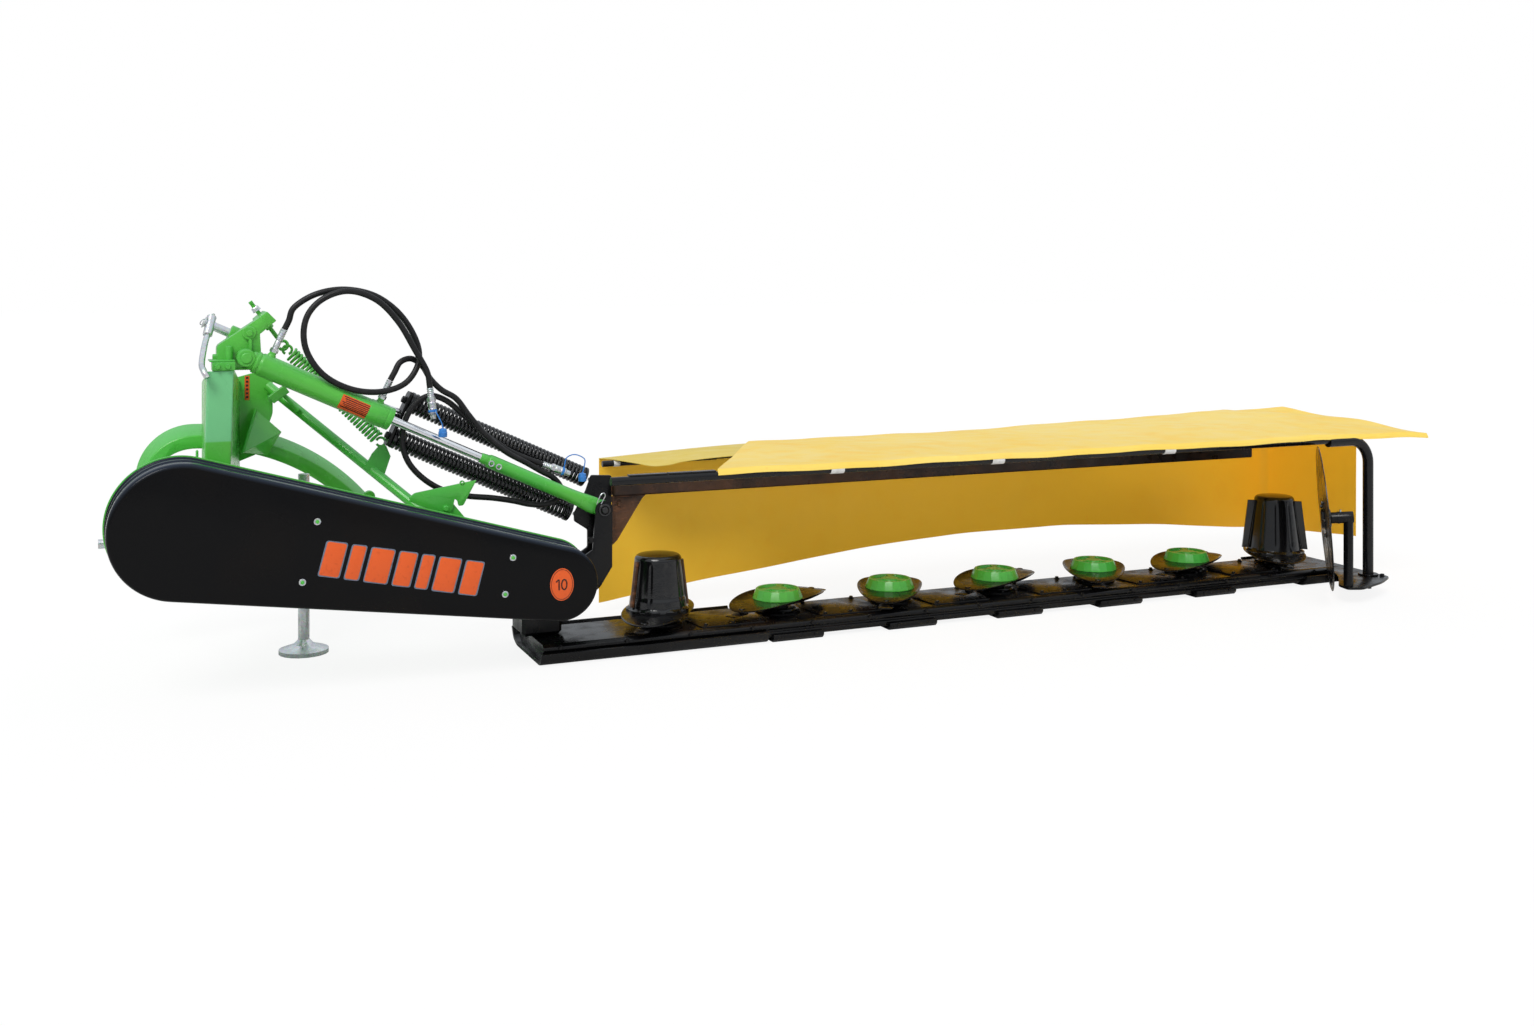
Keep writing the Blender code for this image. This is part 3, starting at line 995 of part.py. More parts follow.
def make_cover_frame(fold):
    """Main beam, rails with cross arms and posts, and the hoop down to the outer shoe."""
    beam_y = (0.0, COVER_BEAM_WIDTH)
    beam = box((COVER_BEAM_START_X, beam_y[0], COVER_BEAM_TOP_Z - COVER_BEAM_HEIGHT),
               (COVER_BEAM_END_X, beam_y[1], COVER_BEAM_TOP_Z))
    name_part(bevel(beam, 0.004), "cover_beam", BLACK, fold)

    rail_z = RAIL_TOP_Z - RAIL_RADIUS
    rear_rail = rod((RAIL_START_X, RAIL_Y, rail_z), (RAIL_END_X, RAIL_Y, rail_z), RAIL_RADIUS, sides=12)
    drop = CANOPY_GAP + RAIL_RADIUS
    front_rail = rod((FRONT_RAIL_START_X, FRONT_RAIL_Y, canopy_z(FRONT_RAIL_START_X, FRONT_RAIL_Y) - drop),
                     (FRONT_RAIL_END_X, FRONT_RAIL_Y, canopy_z(FRONT_RAIL_END_X, FRONT_RAIL_Y) - drop),
                     RAIL_RADIUS, sides=12)
    welded = [front_rail]
    arm_drop = CANOPY_GAP + CLEARANCE + ARM_RADIUS
    for x in ARM_PLACES:
        near = (x, RAIL_Y, canopy_z(x, RAIL_Y) - arm_drop)
        far = (x, FRONT_RAIL_Y, canopy_z(x, FRONT_RAIL_Y) - arm_drop)
        welded.append(rod(near, far, ARM_RADIUS, sides=10))
        middle = sum(beam_y) / 2
        welded.append(box((x - 0.015, middle - 0.015, COVER_BEAM_TOP_Z + CLEARANCE),
                          (x + 0.015, middle + 0.015, canopy_z(x, middle) - arm_drop)))
    name_part(weld(rear_rail, welded), "cover_rails", BLACK, fold)

    hoop_z = RAIL_TOP_Z - HOOP_RADIUS
    bend = [Vector((x, RAIL_Y, z)) for x, z in arc((HOOP_X - HOOP_BEND, hoop_z - HOOP_BEND), HOOP_BEND, 90, 0, 7)]
    path = [Vector((RAIL_END_X + CLEARANCE, RAIL_Y, hoop_z))] + bend
    path.append(Vector((HOOP_X, RAIL_Y, BAR_TOP_Z + CLEARANCE)))
    name_part(tube(path, HOOP_RADIUS), "cover_hoop", BLACK, fold)


def make_cloth(fold):
    """Canopy over the rails, and the front curtain with its side flap hanging under it."""
    working = bmesh.new()
    bmesh.ops.create_grid(working, x_segments=10, y_segments=3, size=1.0)
    for vertex in working.verts:
        x = CANOPY_START_X + (CANOPY_END_X - CANOPY_START_X) * (vertex.co.x + 1) / 2
        y = CANOPY_NEAR_Y + (CANOPY_FAR_Y - CANOPY_NEAR_Y) * (vertex.co.y + 1) / 2
        vertex.co = Vector((x, y, canopy_z(x, y)))
    sheet = from_bmesh(working)
    thick = sheet.modifiers.new("thickness", "SOLIDIFY")
    thick.thickness = CLOTH_THICKNESS
    thick.offset = 1.0
    name_part(sheet, "canopy", YELLOW, fold)

    far_y = FRONT_RAIL_Y + RAIL_RADIUS + CLEARANCE
    lower_edge = [(-0.05, 0.03), (0.0, 0.04), (0.31, 0.08), (0.92, 0.145), (1.33, 0.17), (1.77, 0.17), (2.23, 0.144),
                  (2.6, 0.106), (CURTAIN_END_X, 0.100)]
    upper_edge = []
    for i in range(8):
        x = CURTAIN_END_X + (-0.05 - CURTAIN_END_X) * i / 7
        upper_edge.append((x, canopy_z(x, far_y) - CURTAIN_GAP))
    front = plate("XZ", [lower_edge + upper_edge], far_y, far_y + CLOTH_THICKNESS)
    side_top = canopy_z(CURTAIN_END_X, far_y) - CURTAIN_GAP
    side_end_top = canopy_z(CURTAIN_END_X, CURTAIN_SIDE_END_Y) - CURTAIN_GAP
    side = plate("YZ", [[(far_y + 0.001, 0.100), (far_y + 0.001, side_top), (CURTAIN_SIDE_END_Y, side_end_top),
                         (CURTAIN_SIDE_END_Y, 0.140)]], CURTAIN_END_X - CLOTH_THICKNESS, CURTAIN_END_X - 0.0002)
    name_part(weld(front, [side]), "front_curtain", YELLOW, fold)


def make_swath(fold):
    """The swath disc on its stub and post, at the outer shoe's tail."""
    outward = swath_outward()
    post_at = swath_post_place()
    post_low = (post_at.x, post_at.y, BAR_TOP_Z + CLEARANCE)
    post_high = (post_at.x, post_at.y, post_at.z + SWATH_POST_RISE)
    post = rod(post_low, post_high, SWATH_POST_RADIUS)
    hub_out = 0.020
    axle_out = SWATH_STUB - 0.012
    half = SWATH_THICKNESS / 2
    stub = rod(SWATH_CENTRE + outward * hub_out, post_at, 0.019)
    bore = rod(SWATH_CENTRE - outward * 0.01, SWATH_CENTRE + outward * (axle_out + 0.002),
               SWATH_AXLE_RADIUS + CLEARANCE, sides=12)
    name_part(weld(post, [stub], [bore]), "swath_post", BLACK, fold)
    axis = axis_empty("swath_axis", SWATH_CENTRE, fold)
    profile = [(0.0, axle_out), (SWATH_AXLE_RADIUS, axle_out), (SWATH_AXLE_RADIUS, hub_out - CLEARANCE),
               (SWATH_HUB_RADIUS - 0.006, hub_out - CLEARANCE), (SWATH_HUB_RADIUS, half), (SWATH_RADIUS, half),
               (SWATH_RADIUS, -half), (SWATH_HUB_RADIUS, -half), (SWATH_HUB_RADIUS - 0.010, -0.012), (0.0, -0.012)]
    name_part(turned(profile, SWATH_CENTRE, outward, 32), "swath_disc", BLACK, axis)


clear_scene()
PARTS = collection("disc_mower")
CUTTERS = collection("cutters")
make_headstock()
make_head()
make_carrier()
make_belt_drive()
SWING = axis_empty("cylinder_axis", (HEAD_X, 0.0, HEAD_Z))
make_cylinder(SWING)
make_hoses(SWING)
FOLD = axis_empty("fold_axis", (PIVOT_X, 0.0, PIVOT_Z))
make_gearbox(FOLD)
make_bar(FOLD)
make_shoes(FOLD)
make_rotors(FOLD)
make_cover_frame(FOLD)
make_cloth(FOLD)
make_swath(FOLD)
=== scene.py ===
"""Dresses the disc mower's frame: paint, plating, rubber, cloth, coil springs and fasteners.

Metres, in the frame's own axes: the origin is on the ground under the inner rotor, +X runs along the cutter
bar, +Y points forward to the tractor and +Z is up. New surfaces are worked out with numpy as whole arrays.
"""
import json
import math

import bmesh
import bpy
import numpy as np
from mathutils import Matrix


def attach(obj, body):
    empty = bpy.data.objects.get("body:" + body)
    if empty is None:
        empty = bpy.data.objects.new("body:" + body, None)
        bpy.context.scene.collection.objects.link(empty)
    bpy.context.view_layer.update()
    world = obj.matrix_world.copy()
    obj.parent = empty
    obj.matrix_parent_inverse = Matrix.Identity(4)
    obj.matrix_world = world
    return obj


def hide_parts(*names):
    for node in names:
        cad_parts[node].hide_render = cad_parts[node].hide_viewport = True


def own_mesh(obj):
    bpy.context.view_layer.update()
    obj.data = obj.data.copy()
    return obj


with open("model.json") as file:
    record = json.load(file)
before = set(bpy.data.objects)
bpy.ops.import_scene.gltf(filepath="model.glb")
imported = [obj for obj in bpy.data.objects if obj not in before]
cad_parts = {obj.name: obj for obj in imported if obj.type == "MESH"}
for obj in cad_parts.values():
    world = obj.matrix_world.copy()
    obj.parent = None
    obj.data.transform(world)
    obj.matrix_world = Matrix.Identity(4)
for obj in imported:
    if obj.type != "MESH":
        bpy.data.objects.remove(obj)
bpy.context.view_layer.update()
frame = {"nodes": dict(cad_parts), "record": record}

PI = math.pi


def mm(*lengths):
    """Lengths in millimetres, alone or in tuples, as metres."""
    return [tuple(v / 1000 for v in item) if isinstance(item, tuple) else item / 1000 for item in lengths]


# Places and sizes that the frame was built from
PITCH, ROTORS = 0.4, 7
BAR = {"start": -0.4, "end": 2.6, "rear": -0.15, "front": 0.122, "low": 0.0123, "top": 0.058}
SEAT_TOP, DISC_TOP = 0.072, 0.1
DRIVE, PIVOT = (-1.376, 0.463), (-0.37, 0.249)
GUARD_BIG, GUARD_SMALL = 0.18, 0.107
GUARD_OUTER, GUARD_INNER = -0.25, -0.112
HEAD = np.array([-1.198, 0.0, 0.894])
EYE = np.array([-0.181, 0.0, 0.4165])
DOWN = (EYE - HEAD) / np.linalg.norm(EYE - HEAD)
ABOVE = np.array([-DOWN[2], 0.0, DOWN[0]])
ARCH = {"left": -1.468, "right": -0.78, "top": 0.668, "shoulder": 0.16, "sweep": 0.675, "band": 0.07,
        "foot": 0.3, "rear": 0.43, "front": 0.53}
MAST = {"near": -0.0351, "far": 0.4297, "wall": 0.008, "low": 0.4, "fold": 0.67, "top": 0.86}
RAIL_Y, RAIL_TOP, RAIL_RADIUS = -0.31, 0.553, 0.0125
HOOP_X, HOOP_RADIUS, HOOP_BEND = 2.545, 0.018, 0.08
SWATH_CENTRE = np.array([2.28, -0.381, 0.2855])
SWATH_TOE, SWATH_LEAN = math.radians(-39.2), 0.09
SWATH_OUT = np.array([math.cos(SWATH_TOE), math.sin(SWATH_TOE), SWATH_LEAN]) / math.hypot(1.0, SWATH_LEAN)
SWATH_RADIUS = 0.2445
CLOTH = {"start": -0.05, "end": 2.85, "near": -0.322, "far": 0.452, "far_start": 0.505, "far_end": 0.577}
HOSE_RADIUS = 0.0086
HOSE_A_ROUTE = mm(
    (-1096, 0, 970), (-1084, 0, 995), (-1069, 0, 1032), (-1010, 0, 1068), (-931, 2, 1080.3), (-847, 4, 1061),
    (-777, 6, 1007), (-732, 6, 931), (-727, 1, 869), (-766, -13, 813), (-838, -24, 791), (-922, -30, 802),
    (-998, -32, 846), (-1043, -30, 919), (-1042, -26, 997), (-999, -22, 1052), (-926, -20, 1076),
    (-848, -20, 1050), (-787, -20, 987), (-741, -22, 907), (-707.5, -24, 845), (-699, -24, 798))
HOSE_B_ROUTE = mm(
    (-807, 0, 821), (-795, 0, 843), (-777, 6, 872), (-744, 16, 880), (-712, 21, 858), (-689, 19, 820),
    (-658, 14, 788), (-616, 10, 761), (-578, 10, 710), (-531, 10, 653), (-469, 10, 600), (-408, 13, 565),
    (-360, 21, 536), (-322, 28, 514), (-298, 29.5, 482), (-309, 29.5, 450), (-343, 29.5, 436),
    (-392, 26, 439), (-448, 19, 454), (-512, 13, 467), (-580, 12, 476), (-641, 13, 492), (-698, 16, 524),
    (-743, 21, 569), (-765, 25.5, 618), (-767, 28.5, 667), (-755, 31, 712), (-727, 31, 752), (-687, 29, 771),
    (-641, 28.5, 755), (-594, 29, 715), (-530, 28.5, 654), (-461, 28.5, 604), (-407, 28.5, 577),
    (-355, 27.5, 556))
STRAP_A_ROUTE = mm((-684, -43, 727), (-675, -45, 709), (-667, -40, 693), (-665, -37, 681))
STRAP_B_ROUTE = mm((-280, 27.5, 572), (-254.5, 27, 580), (-226, 26, 566), (-226.5, 25, 543),
                   (-232.5, 25, 523))
UP, FORWARD, REARWARD = (0, 0, 1), (0, 1, 0), (0, -1, 0)


def unit(vectors):
    """Vectors scaled to length one."""
    vectors = np.asarray(vectors, float)
    return vectors / np.linalg.norm(vectors, axis=-1, keepdims=True)


def square_to(direction):
    """Two unit vectors square to a direction and to each other."""
    line = unit(direction)
    side = unit(np.cross(line, np.eye(3)[np.argmin(np.abs(line))]))
    return side, np.cross(line, side)


def grid(points, wrap_u=False, wrap_v=False, caps=False):
    """Four-sided faces through a (rows, columns, 3) array of points; caps close its first and last row."""
    rows, columns = points.shape[:2]
    index = np.arange(rows * columns).reshape(rows, columns)
    around = index
    if wrap_u:
        around = np.vstack([around, around[:1]])
    if wrap_v:
        around = np.hstack([around, around[:, :1]])
    quads = np.stack([around[:-1, :-1], around[1:, :-1], around[1:, 1:], around[:-1, 1:]],
                     axis=-1).reshape(-1, 4)
    ends = [index[0][::-1], index[-1]] if caps else []
    return points.reshape(-1, 3), quads, ends


def rounded(corners, radius, steps=4):
    """Corners cut back by radius and bridged by parabolas: (1-t)^2 start + 2t(1-t) corner + t^2 end."""
    corners = np.asarray(corners, float)
    before, after = np.roll(corners, 1, axis=0), np.roll(corners, -1, axis=0)
    back, on = before - corners, after - corners
    back_length = np.linalg.norm(back, axis=1, keepdims=True)
    on_length = np.linalg.norm(on, axis=1, keepdims=True)
    radius = np.broadcast_to(np.asarray(radius, float).reshape(-1, 1), back_length.shape)
    start = corners + back * np.minimum(0.49, radius / np.maximum(back_length, 1e-9))
    end = corners + on * np.minimum(0.49, radius / np.maximum(on_length, 1e-9))
    t = np.linspace(0, 1, steps + 1)[None, :, None]
    arcs = (1 - t) ** 2 * start[:, None] + 2 * t * (1 - t) * corners[:, None] + t ** 2 * end[:, None]
    return arcs.reshape(-1, corners.shape[1])


def turn_in(steps):
    """The angles of a whole turn in equal steps."""
    return np.arange(steps) * 2 * PI / steps


def circle(radius, sides=16):
    """A round section as (a, b) points."""
    angle = turn_in(sides)
    return np.stack([np.cos(angle), np.sin(angle)], axis=1) * radius


def spokes(angle, side, up):
    """Directions at some angles: cos a * side + sin a * up."""
    return np.cos(angle)[:, None] * side + np.sin(angle)[:, None] * up


def oblong(width, height, corner=0.002, steps=3):
    """A rectangular section with rounded corners."""
    a, b = width / 2, height / 2
    return rounded([(-a, -b), (a, -b), (a, b), (-a, b)], corner, steps)


def lathe(profile, start, direction, steps=48, ring=False):
    """A surface of revolution, start + h * direction + r * spoke; unless ring, it closes on its axis."""
    profile = np.asarray(profile, float)
    if not ring:
        first, last = profile[:1] * (0, 1), profile[-1:] * (0, 1)
        profile = np.vstack([first] * (profile[0, 0] > 0) + [profile] + [last] * (profile[-1, 0] > 0))
    line = unit(direction)
    side, up = square_to(line)
    reach, height = profile.T[:, :, None, None]
    points = np.asarray(start, float) + height * line + reach * spokes(turn_in(steps), side, up)
    return grid(points, wrap_u=ring, wrap_v=True)


def sweep(path, section, flat=FORWARD, scale=None, closed=False):
    """A section along a path: path + a * side + b * up, where side is square to the path and to flat."""
    path = np.asarray(path, float)
    section = np.asarray(section, float)
    tangent = np.roll(path, -1, axis=0) - np.roll(path, 1, axis=0) if closed else np.gradient(path, axis=0)
    tangent = unit(tangent)
    side = unit(np.cross(tangent, np.asarray(flat, float)))
    up = np.cross(side, tangent)
    size = np.ones(len(path)) if scale is None else np.asarray(scale, float)
    points = path[:, None] + size[:, None, None] * (section[None, :, :1] * side[:, None]
                                                    + section[None, :, 1:] * up[:, None])
    return grid(points, wrap_u=closed, wrap_v=True, caps=not closed)


def tube(path, radius, flat=FORWARD, sides=14, scale=None, closed=False):
    """A round wire or pipe along a path."""
    return sweep(path, circle(radius, sides), flat, scale, closed)


def rod(start, end, radius, edge=0.0008, steps=28):
    """A round bar between two points, with small chamfers at both ends."""
    start, end = np.asarray(start, float), np.asarray(end, float)
    length = float(np.linalg.norm(end - start))
    profile = [(radius - edge, 0), (radius, edge), (radius, length - edge), (radius - edge, length)]
    return lathe(profile, start, end - start, steps)


def ring(centre, direction, outer, inner, half, edge=0.0008, steps=36):
    """A round eye or washer about an axis, from -half to +half along it."""
    profile = [(inner, -half + edge), (inner + edge, -half), (outer - edge, -half), (outer, -half + edge),
               (outer, half - edge), (outer - edge, half), (inner + edge, half), (inner, half - edge)]
    return lathe(profile, centre, direction, steps, ring=True)


AXES = {"XZ": (0, 2, 1), "YZ": (1, 2, 0), "XY": (0, 1, 2)}


def outward(outline):
    """How far each corner of a flat outline moves when its edges move out by one unit."""
    before, after = np.roll(outline, 1, axis=0), np.roll(outline, -1, axis=0)
    turn = np.sign(np.sum(outline[:, 0] * after[:, 1] - after[:, 0] * outline[:, 1]))
    first, second = unit(outline - before + 1e-12), unit(after - outline + 1e-12)
    first = np.stack([first[:, 1], -first[:, 0]], axis=1) * turn
    second = np.stack([second[:, 1], -second[:, 0]], axis=1) * turn
    return (first + second) / np.maximum(1 + np.sum(first * second, axis=1, keepdims=True), 0.4)


def layers(outline, plane, profile):
    """A flat outline carried across its plane: each row of the profile sets it in and gives its level."""
    outline = np.asarray(outline, float)
    out = outward(outline)
    a, b, across = AXES[plane]
    points = np.zeros((len(profile), len(outline), 3))
    for row, (depth, level) in enumerate(profile):
        points[row, :, a], points[row, :, b] = (outline - out * depth).T
        points[row, :, across] = level
    return grid(points, wrap_v=True, caps=True)


def plate(outline, plane, low, high, edge=0.0012):
    """A flat outline from low to high across its plane; the rim is set in by edge at both faces."""
    soft = edge * 0.3
    return layers(outline, plane, [(edge, low), (soft, low + soft), (0, low + edge), (0, high - edge),
                                   (soft, high - soft), (edge, high)])


def slab(low, high, edge=0.0015):
    """A box between two corners with chamfered edges."""
    (x0, y0, z0), (x1, y1, z1) = low, high
    return plate([(x0, y0), (x1, y0), (x1, y1), (x0, y1)], "XY", z0, z1, edge)


def block(corners, thickness, edge=0.001):
    """A flat plate of any slope: the corners' polygon, thickened along its own normal."""
    corners = np.asarray(corners, float)
    normal = unit(np.cross(corners[1] - corners[0], corners[2] - corners[0]))
    centre = corners.mean(axis=0)
    inner = centre + (corners - centre) * (1 - edge / np.linalg.norm(corners - centre, axis=1, keepdims=True))
    rows = [inner, corners + normal * edge, corners + normal * (thickness - edge), inner + normal * thickness]
    return grid(np.stack(rows), wrap_v=True, caps=True)


def beam(start, end, width, height, flat=FORWARD, corner=0.002):
    """A straight bar of rectangular section; width lies along the side square to flat, height along flat."""
    return sweep([start, (np.asarray(start, float) + end) / 2, end], oblong(width, height, corner), flat)


def bolt(place, direction, across=0.016, head=0.0075, washer=0.011):
    """A hexagon head on its washer, with a chamfered crown; direction points out of the head."""
    place, line = np.asarray(place, float), unit(direction)
    radius = across / math.sqrt(3)
    shapes = []
    base = 0.0
    if washer:
        shapes.append(lathe([(washer, 0), (washer, 0.0013), (washer - 0.0005, 0.0018)], place, line, 24))
        base = 0.0018
    crown = [(radius, base), (radius, base + head * 0.82), (radius * 0.86, base + head)]
    shapes.append(lathe(crown, place, line, 6))
    return shapes


def moved(shape, offset):
    """A shape moved by an offset."""
    points, quads, ends = shape
    return points + np.asarray(offset, float), quads, ends


def turned(shape, degrees):
    """A shape turned about the upright line through the origin."""
    points, quads, ends = shape
    angle = math.radians(degrees)
    c, s = math.cos(angle), math.sin(angle)
    return points @ np.array([[c, s, 0], [-s, c, 0], [0, 0, 1]]), quads, ends


def smooth(points, steps):
    """A Catmull-Rom curve through the points, as one array."""
    known = np.asarray(points, float)
    known = np.vstack([2 * known[0] - known[1], known, 2 * known[-1] - known[-2]])
    a, b, c, d = (known[i:len(known) - 3 + i, None] for i in range(4))
    t = (np.arange(steps) / steps)[None, :, None]
    second, third = 2 * a - 5 * b + 4 * c - d, 3 * b - a - 3 * c + d
    curve = 0.5 * (2 * b + (c - a) * t + second * t ** 2 + third * t ** 3)
    return np.vstack([curve.reshape(-1, known.shape[1]), known[-2:-1]])


def coil(start, end, radius, section, turns, per_turn=22):
    """A helix of wire: start + (end - start) * t + radius * spoke, at the angle 2 pi turns t."""
    start, end = np.asarray(start, float), np.asarray(end, float)
    side, up = square_to(end - start)
    t = np.linspace(0, 1, int(turns * per_turn) + 1)
    angle = 2 * PI * turns * t
    path = start + (end - start) * t[:, None] + radius * spokes(angle, side, up)
    return sweep(path, section, unit(end - start))


def hump(t):
    """A smooth rise from 0 to 1 between t = 0 and t = 1."""
    t = np.clip(t, 0, 1)
    return t * t * (3 - 2 * t)


def combined(shapes):
    """Shapes as one list of points, one of faces, and which faces are smooth; flat ends are not."""
    points, faces, soft, start = [], [], [], 0
    for own_points, quads, ends in shapes:
        points.append(own_points)
        faces.extend((quads + start).tolist())
        faces.extend([(np.asarray(end) + start).tolist() for end in ends])
        soft += [True] * len(quads) + [False] * len(ends)
        start += len(own_points)
    return np.vstack(points), faces, soft


def piece(name, shapes, finish, body, replaces=(), sharp=35):
    """A named object on its body: doubles merged, faces outwards, smooth up to the sharp angle."""
    points, faces, soft = combined(shapes)
    mesh = bpy.data.meshes.new(name)
    mesh.from_pydata(points.tolist(), [], faces)
    mesh.polygons.foreach_set("use_smooth", soft)
    working = bmesh.new()
    working.from_mesh(mesh)
    bmesh.ops.remove_doubles(working, verts=working.verts, dist=1e-6)
    bmesh.ops.recalc_face_normals(working, faces=working.faces)
    working.to_mesh(mesh)
    working.free()
    mesh.set_sharp_from_angle(angle=math.radians(sharp))
    mesh.materials.append(finish)
    made = bpy.data.objects.new(name, mesh)
    bpy.context.scene.collection.objects.link(made)
    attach(made, body)
    if replaces:
        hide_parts(*replaces)
    return made


def along(distance, offset=0.0, y=0.0):
    """The point at a distance from the head pin along the lift cylinder, offset across it, at a given y."""
    return HEAD + DOWN * distance + ABOVE * offset + np.array([0.0, y, 0.0])


# Finishes

class Finish:
    """One material's nodes: patterns on Object coordinates drive colour, roughness and bump."""

    def __init__(self, name, colour, roughness, metallic=0.0, specular=0.5):
        self.material = bpy.data.materials.new(name)
        self.material.use_nodes = True
        self.tree = self.material.node_tree
        self.shader = self.tree.nodes["Principled BSDF"]
        self.colour = (*colour, 1)
        for socket, value in (("Base Color", self.colour), ("Roughness", roughness), ("Metallic", metallic),
                              ("Specular IOR Level", specular)):
            self.shader.inputs[socket].default_value = value
        texture = self.tree.nodes.new("ShaderNodeTexCoord")
        self.where, self.facing = texture.outputs["Object"], texture.outputs["Normal"]
        self.normal = None

    def put(self, socket, value):
        """Links an output to a socket, or sets the socket's own value."""
        if isinstance(value, bpy.types.NodeSocket):
            self.tree.links.new(value, socket)
        else:
            socket.default_value = value

    def node(self, kind, **values):
        """A new node of a kind, with values for its sockets."""
        made = self.tree.nodes.new("ShaderNode" + kind)
        for socket, value in values.items():
            self.put(made.inputs[socket.replace("_", " ")], value)
        return made

    def noise(self, scale, detail=3.0, rough=0.5, where=None):
        """Cloudy noise, about 0.3 to 0.7."""
        return self.node("TexNoise", Vector=where or self.where, Scale=scale, Detail=detail,
                         Roughness=rough).outputs["Fac"]

    def waves(self, axis, pitch, distortion=0.0):
        """Parallel ridges across one axis, a pitch apart."""
        node = self.node("TexWave", Vector=self.where, Scale=PI / 10 / pitch, Distortion=distortion)
        node.bands_direction = axis
        return node.outputs["Fac"]

    def span(self, value, low, high, first=0.0, last=1.0):
        """A value mapped from low..high to first..last and held there."""
        return self.node("MapRange", Value=value, From_Min=low, From_Max=high, To_Min=first,
                         To_Max=last).outputs["Result"]

    def sum(self, first, second, operation="ADD"):
        """One arithmetic step on two values."""
        node = self.tree.nodes.new("ShaderNodeMath")
        node.operation = operation
        self.put(node.inputs[0], first)
        self.put(node.inputs[1], second)
        return node.outputs["Value"]

    def times(self, first, second):
        """Two values multiplied."""
        return self.sum(first, second, "MULTIPLY")

    def upward(self, low, high, last=1.0):
        """How far a face points up in the piece's own axes, from low to high, up to last."""
        return self.span(self.node("SeparateXYZ", Vector=self.facing).outputs["Z"], low, high, 0.0, last)

    def axis(self, letter, low, high, first=0.0, last=1.0):
        """One Object coordinate mapped from low..high to first..last."""
        return self.span(self.node("SeparateXYZ", Vector=self.where).outputs[letter], low, high, first, last)

    def tint(self, share, colour):
        """Mixes a colour over what is there by a share."""
        node = self.tree.nodes.new("ShaderNodeMix")
        node.data_type = "RGBA"
        self.put(node.inputs["Factor"], share)
        self.put(node.inputs[6], self.colour)
        self.put(node.inputs[7], colour if isinstance(colour, bpy.types.NodeSocket) else (*colour, 1))
        self.colour = node.outputs[2]

    def clouds(self, scale, detail, low, high, share, colour, rough=0.5):
        """Tints the noise between low and high with a colour, up to a share."""
        self.tint(self.span(self.noise(scale, detail, rough), low, high, 0.0, share), colour)

    def bump(self, height, distance, strength=1.0):
        """Raises the surface by a height pattern."""
        node = self.node("Bump", Strength=strength, Distance=distance, Height=height)
        if self.normal is not None:
            self.put(node.inputs["Normal"], self.normal)
        self.normal = node.outputs["Normal"]

    def grain(self, scale, detail, distance, strength, rough=0.5):
        """Raises the surface by noise."""
        self.bump(self.noise(scale, detail, rough), distance, strength)

    def done(self, scale=None, detail=4, high=0.68, smoothest=0.0, dullest=1.0):
        """Joins colour, bump and, given a scale, uneven roughness to the shader; returns the material."""
        self.put(self.shader.inputs["Base Color"], self.colour)
        if scale:
            self.put(self.shader.inputs["Roughness"],
                     self.span(self.noise(scale, detail), 0.35, high, smoothest, dullest))
        if self.normal is not None:
            self.put(self.shader.inputs["Normal"], self.normal)
        return self.material


def green_paint(name="green_paint_sprayed", sky_reflection_above=None):
    """Sprayed bright green: broad tint changes, orange peel, grime, painted mint sky reflection on faces that
    point up.
    """
    finish = Finish(name, (0.074, 0.5, 0.066), 0.3, specular=0.42)
    finish.clouds(3.2, 2, 0.38, 0.62, 0.5, (0.13, 0.52, 0.05))
    finish.clouds(14, 5, 0.54, 0.76, 0.35, (0.05, 0.4, 0.06), 0.6)
    # Painted sky reflection: faces that point up are tinted mint.
    finish.tint(finish.upward(0.45, 0.95, 0.55), (0.17, 0.57, 0.21))
    # Painted sky reflection: the near face above the given height is tinted pale mint.
    if sky_reflection_above:
        near = finish.axis("Y", 0.03, -0.01, 0.0, 0.8)
        finish.tint(finish.times(near, finish.axis("Z", sky_reflection_above - 0.002, sky_reflection_above + 0.002)),
                    (0.2, 0.6, 0.3))
    finish.clouds(70, 6, 0.64, 0.8, 0.4, (0.03, 0.2, 0.028), 0.7)
    finish.grain(22, 2, 0.0008, 0.4)
    finish.grain(420, 2, 0.00012, 0.5)
    return finish.done(9, 4, 0.7, 0.2, 0.36)


def guard_black():
    """Gloss black sheet: faint brown clouds, slow sheet waves, dust specks, painted blue-grey highlight
    facing up.
    """
    finish = Finish("black_gloss_sheet", (0.003, 0.003, 0.0034), 0.2, specular=0.13)
    finish.clouds(2.4, 2, 0.48, 0.74, 0.6, (0.0085, 0.0058, 0.004))
    # Painted highlight: faces that point up are tinted blue-grey, as the sky would light them.
    finish.tint(finish.upward(0.15, 0.8, 0.75), (0.022, 0.033, 0.056))
    finish.clouds(160, 3, 0.7, 0.84, 0.12, (0.06, 0.055, 0.05), 0.7)
    finish.grain(3.0, 1, 0.012, 0.5)
    finish.grain(500, 2, 0.0001, 0.5)
    return finish.done(6, 4, 0.7, 0.12, 0.26)


def worn_black(name="black_paint_worn", specular=0.26, rough=(0.14, 0.4)):
    """Gloss black paint that has worked: brown dust and painted cloth reflection on what faces up, scuffs, a
    rolled grain.
    """
    finish = Finish(name, (0.0036, 0.0036, 0.0042), 0.3, specular=specular)
    # The brown on faces that point up is partly dust and partly a painted reflection of the yellow cloth.
    dust = finish.times(finish.upward(0.2, 0.9), finish.span(finish.noise(5, 5, 0.6), 0.54, 0.66))
    finish.tint(finish.times(dust, 0.22), (0.05, 0.024, 0.01))
    finish.clouds(38, 6, 0.64, 0.78, 0.22, (0.036, 0.019, 0.011), 0.65)
    finish.grain(24, 4, 0.0012, 0.45, 0.6)
    finish.grain(260, 3, 0.0003, 0.4)
    return finish.done(17, 4, 0.68, *rough)


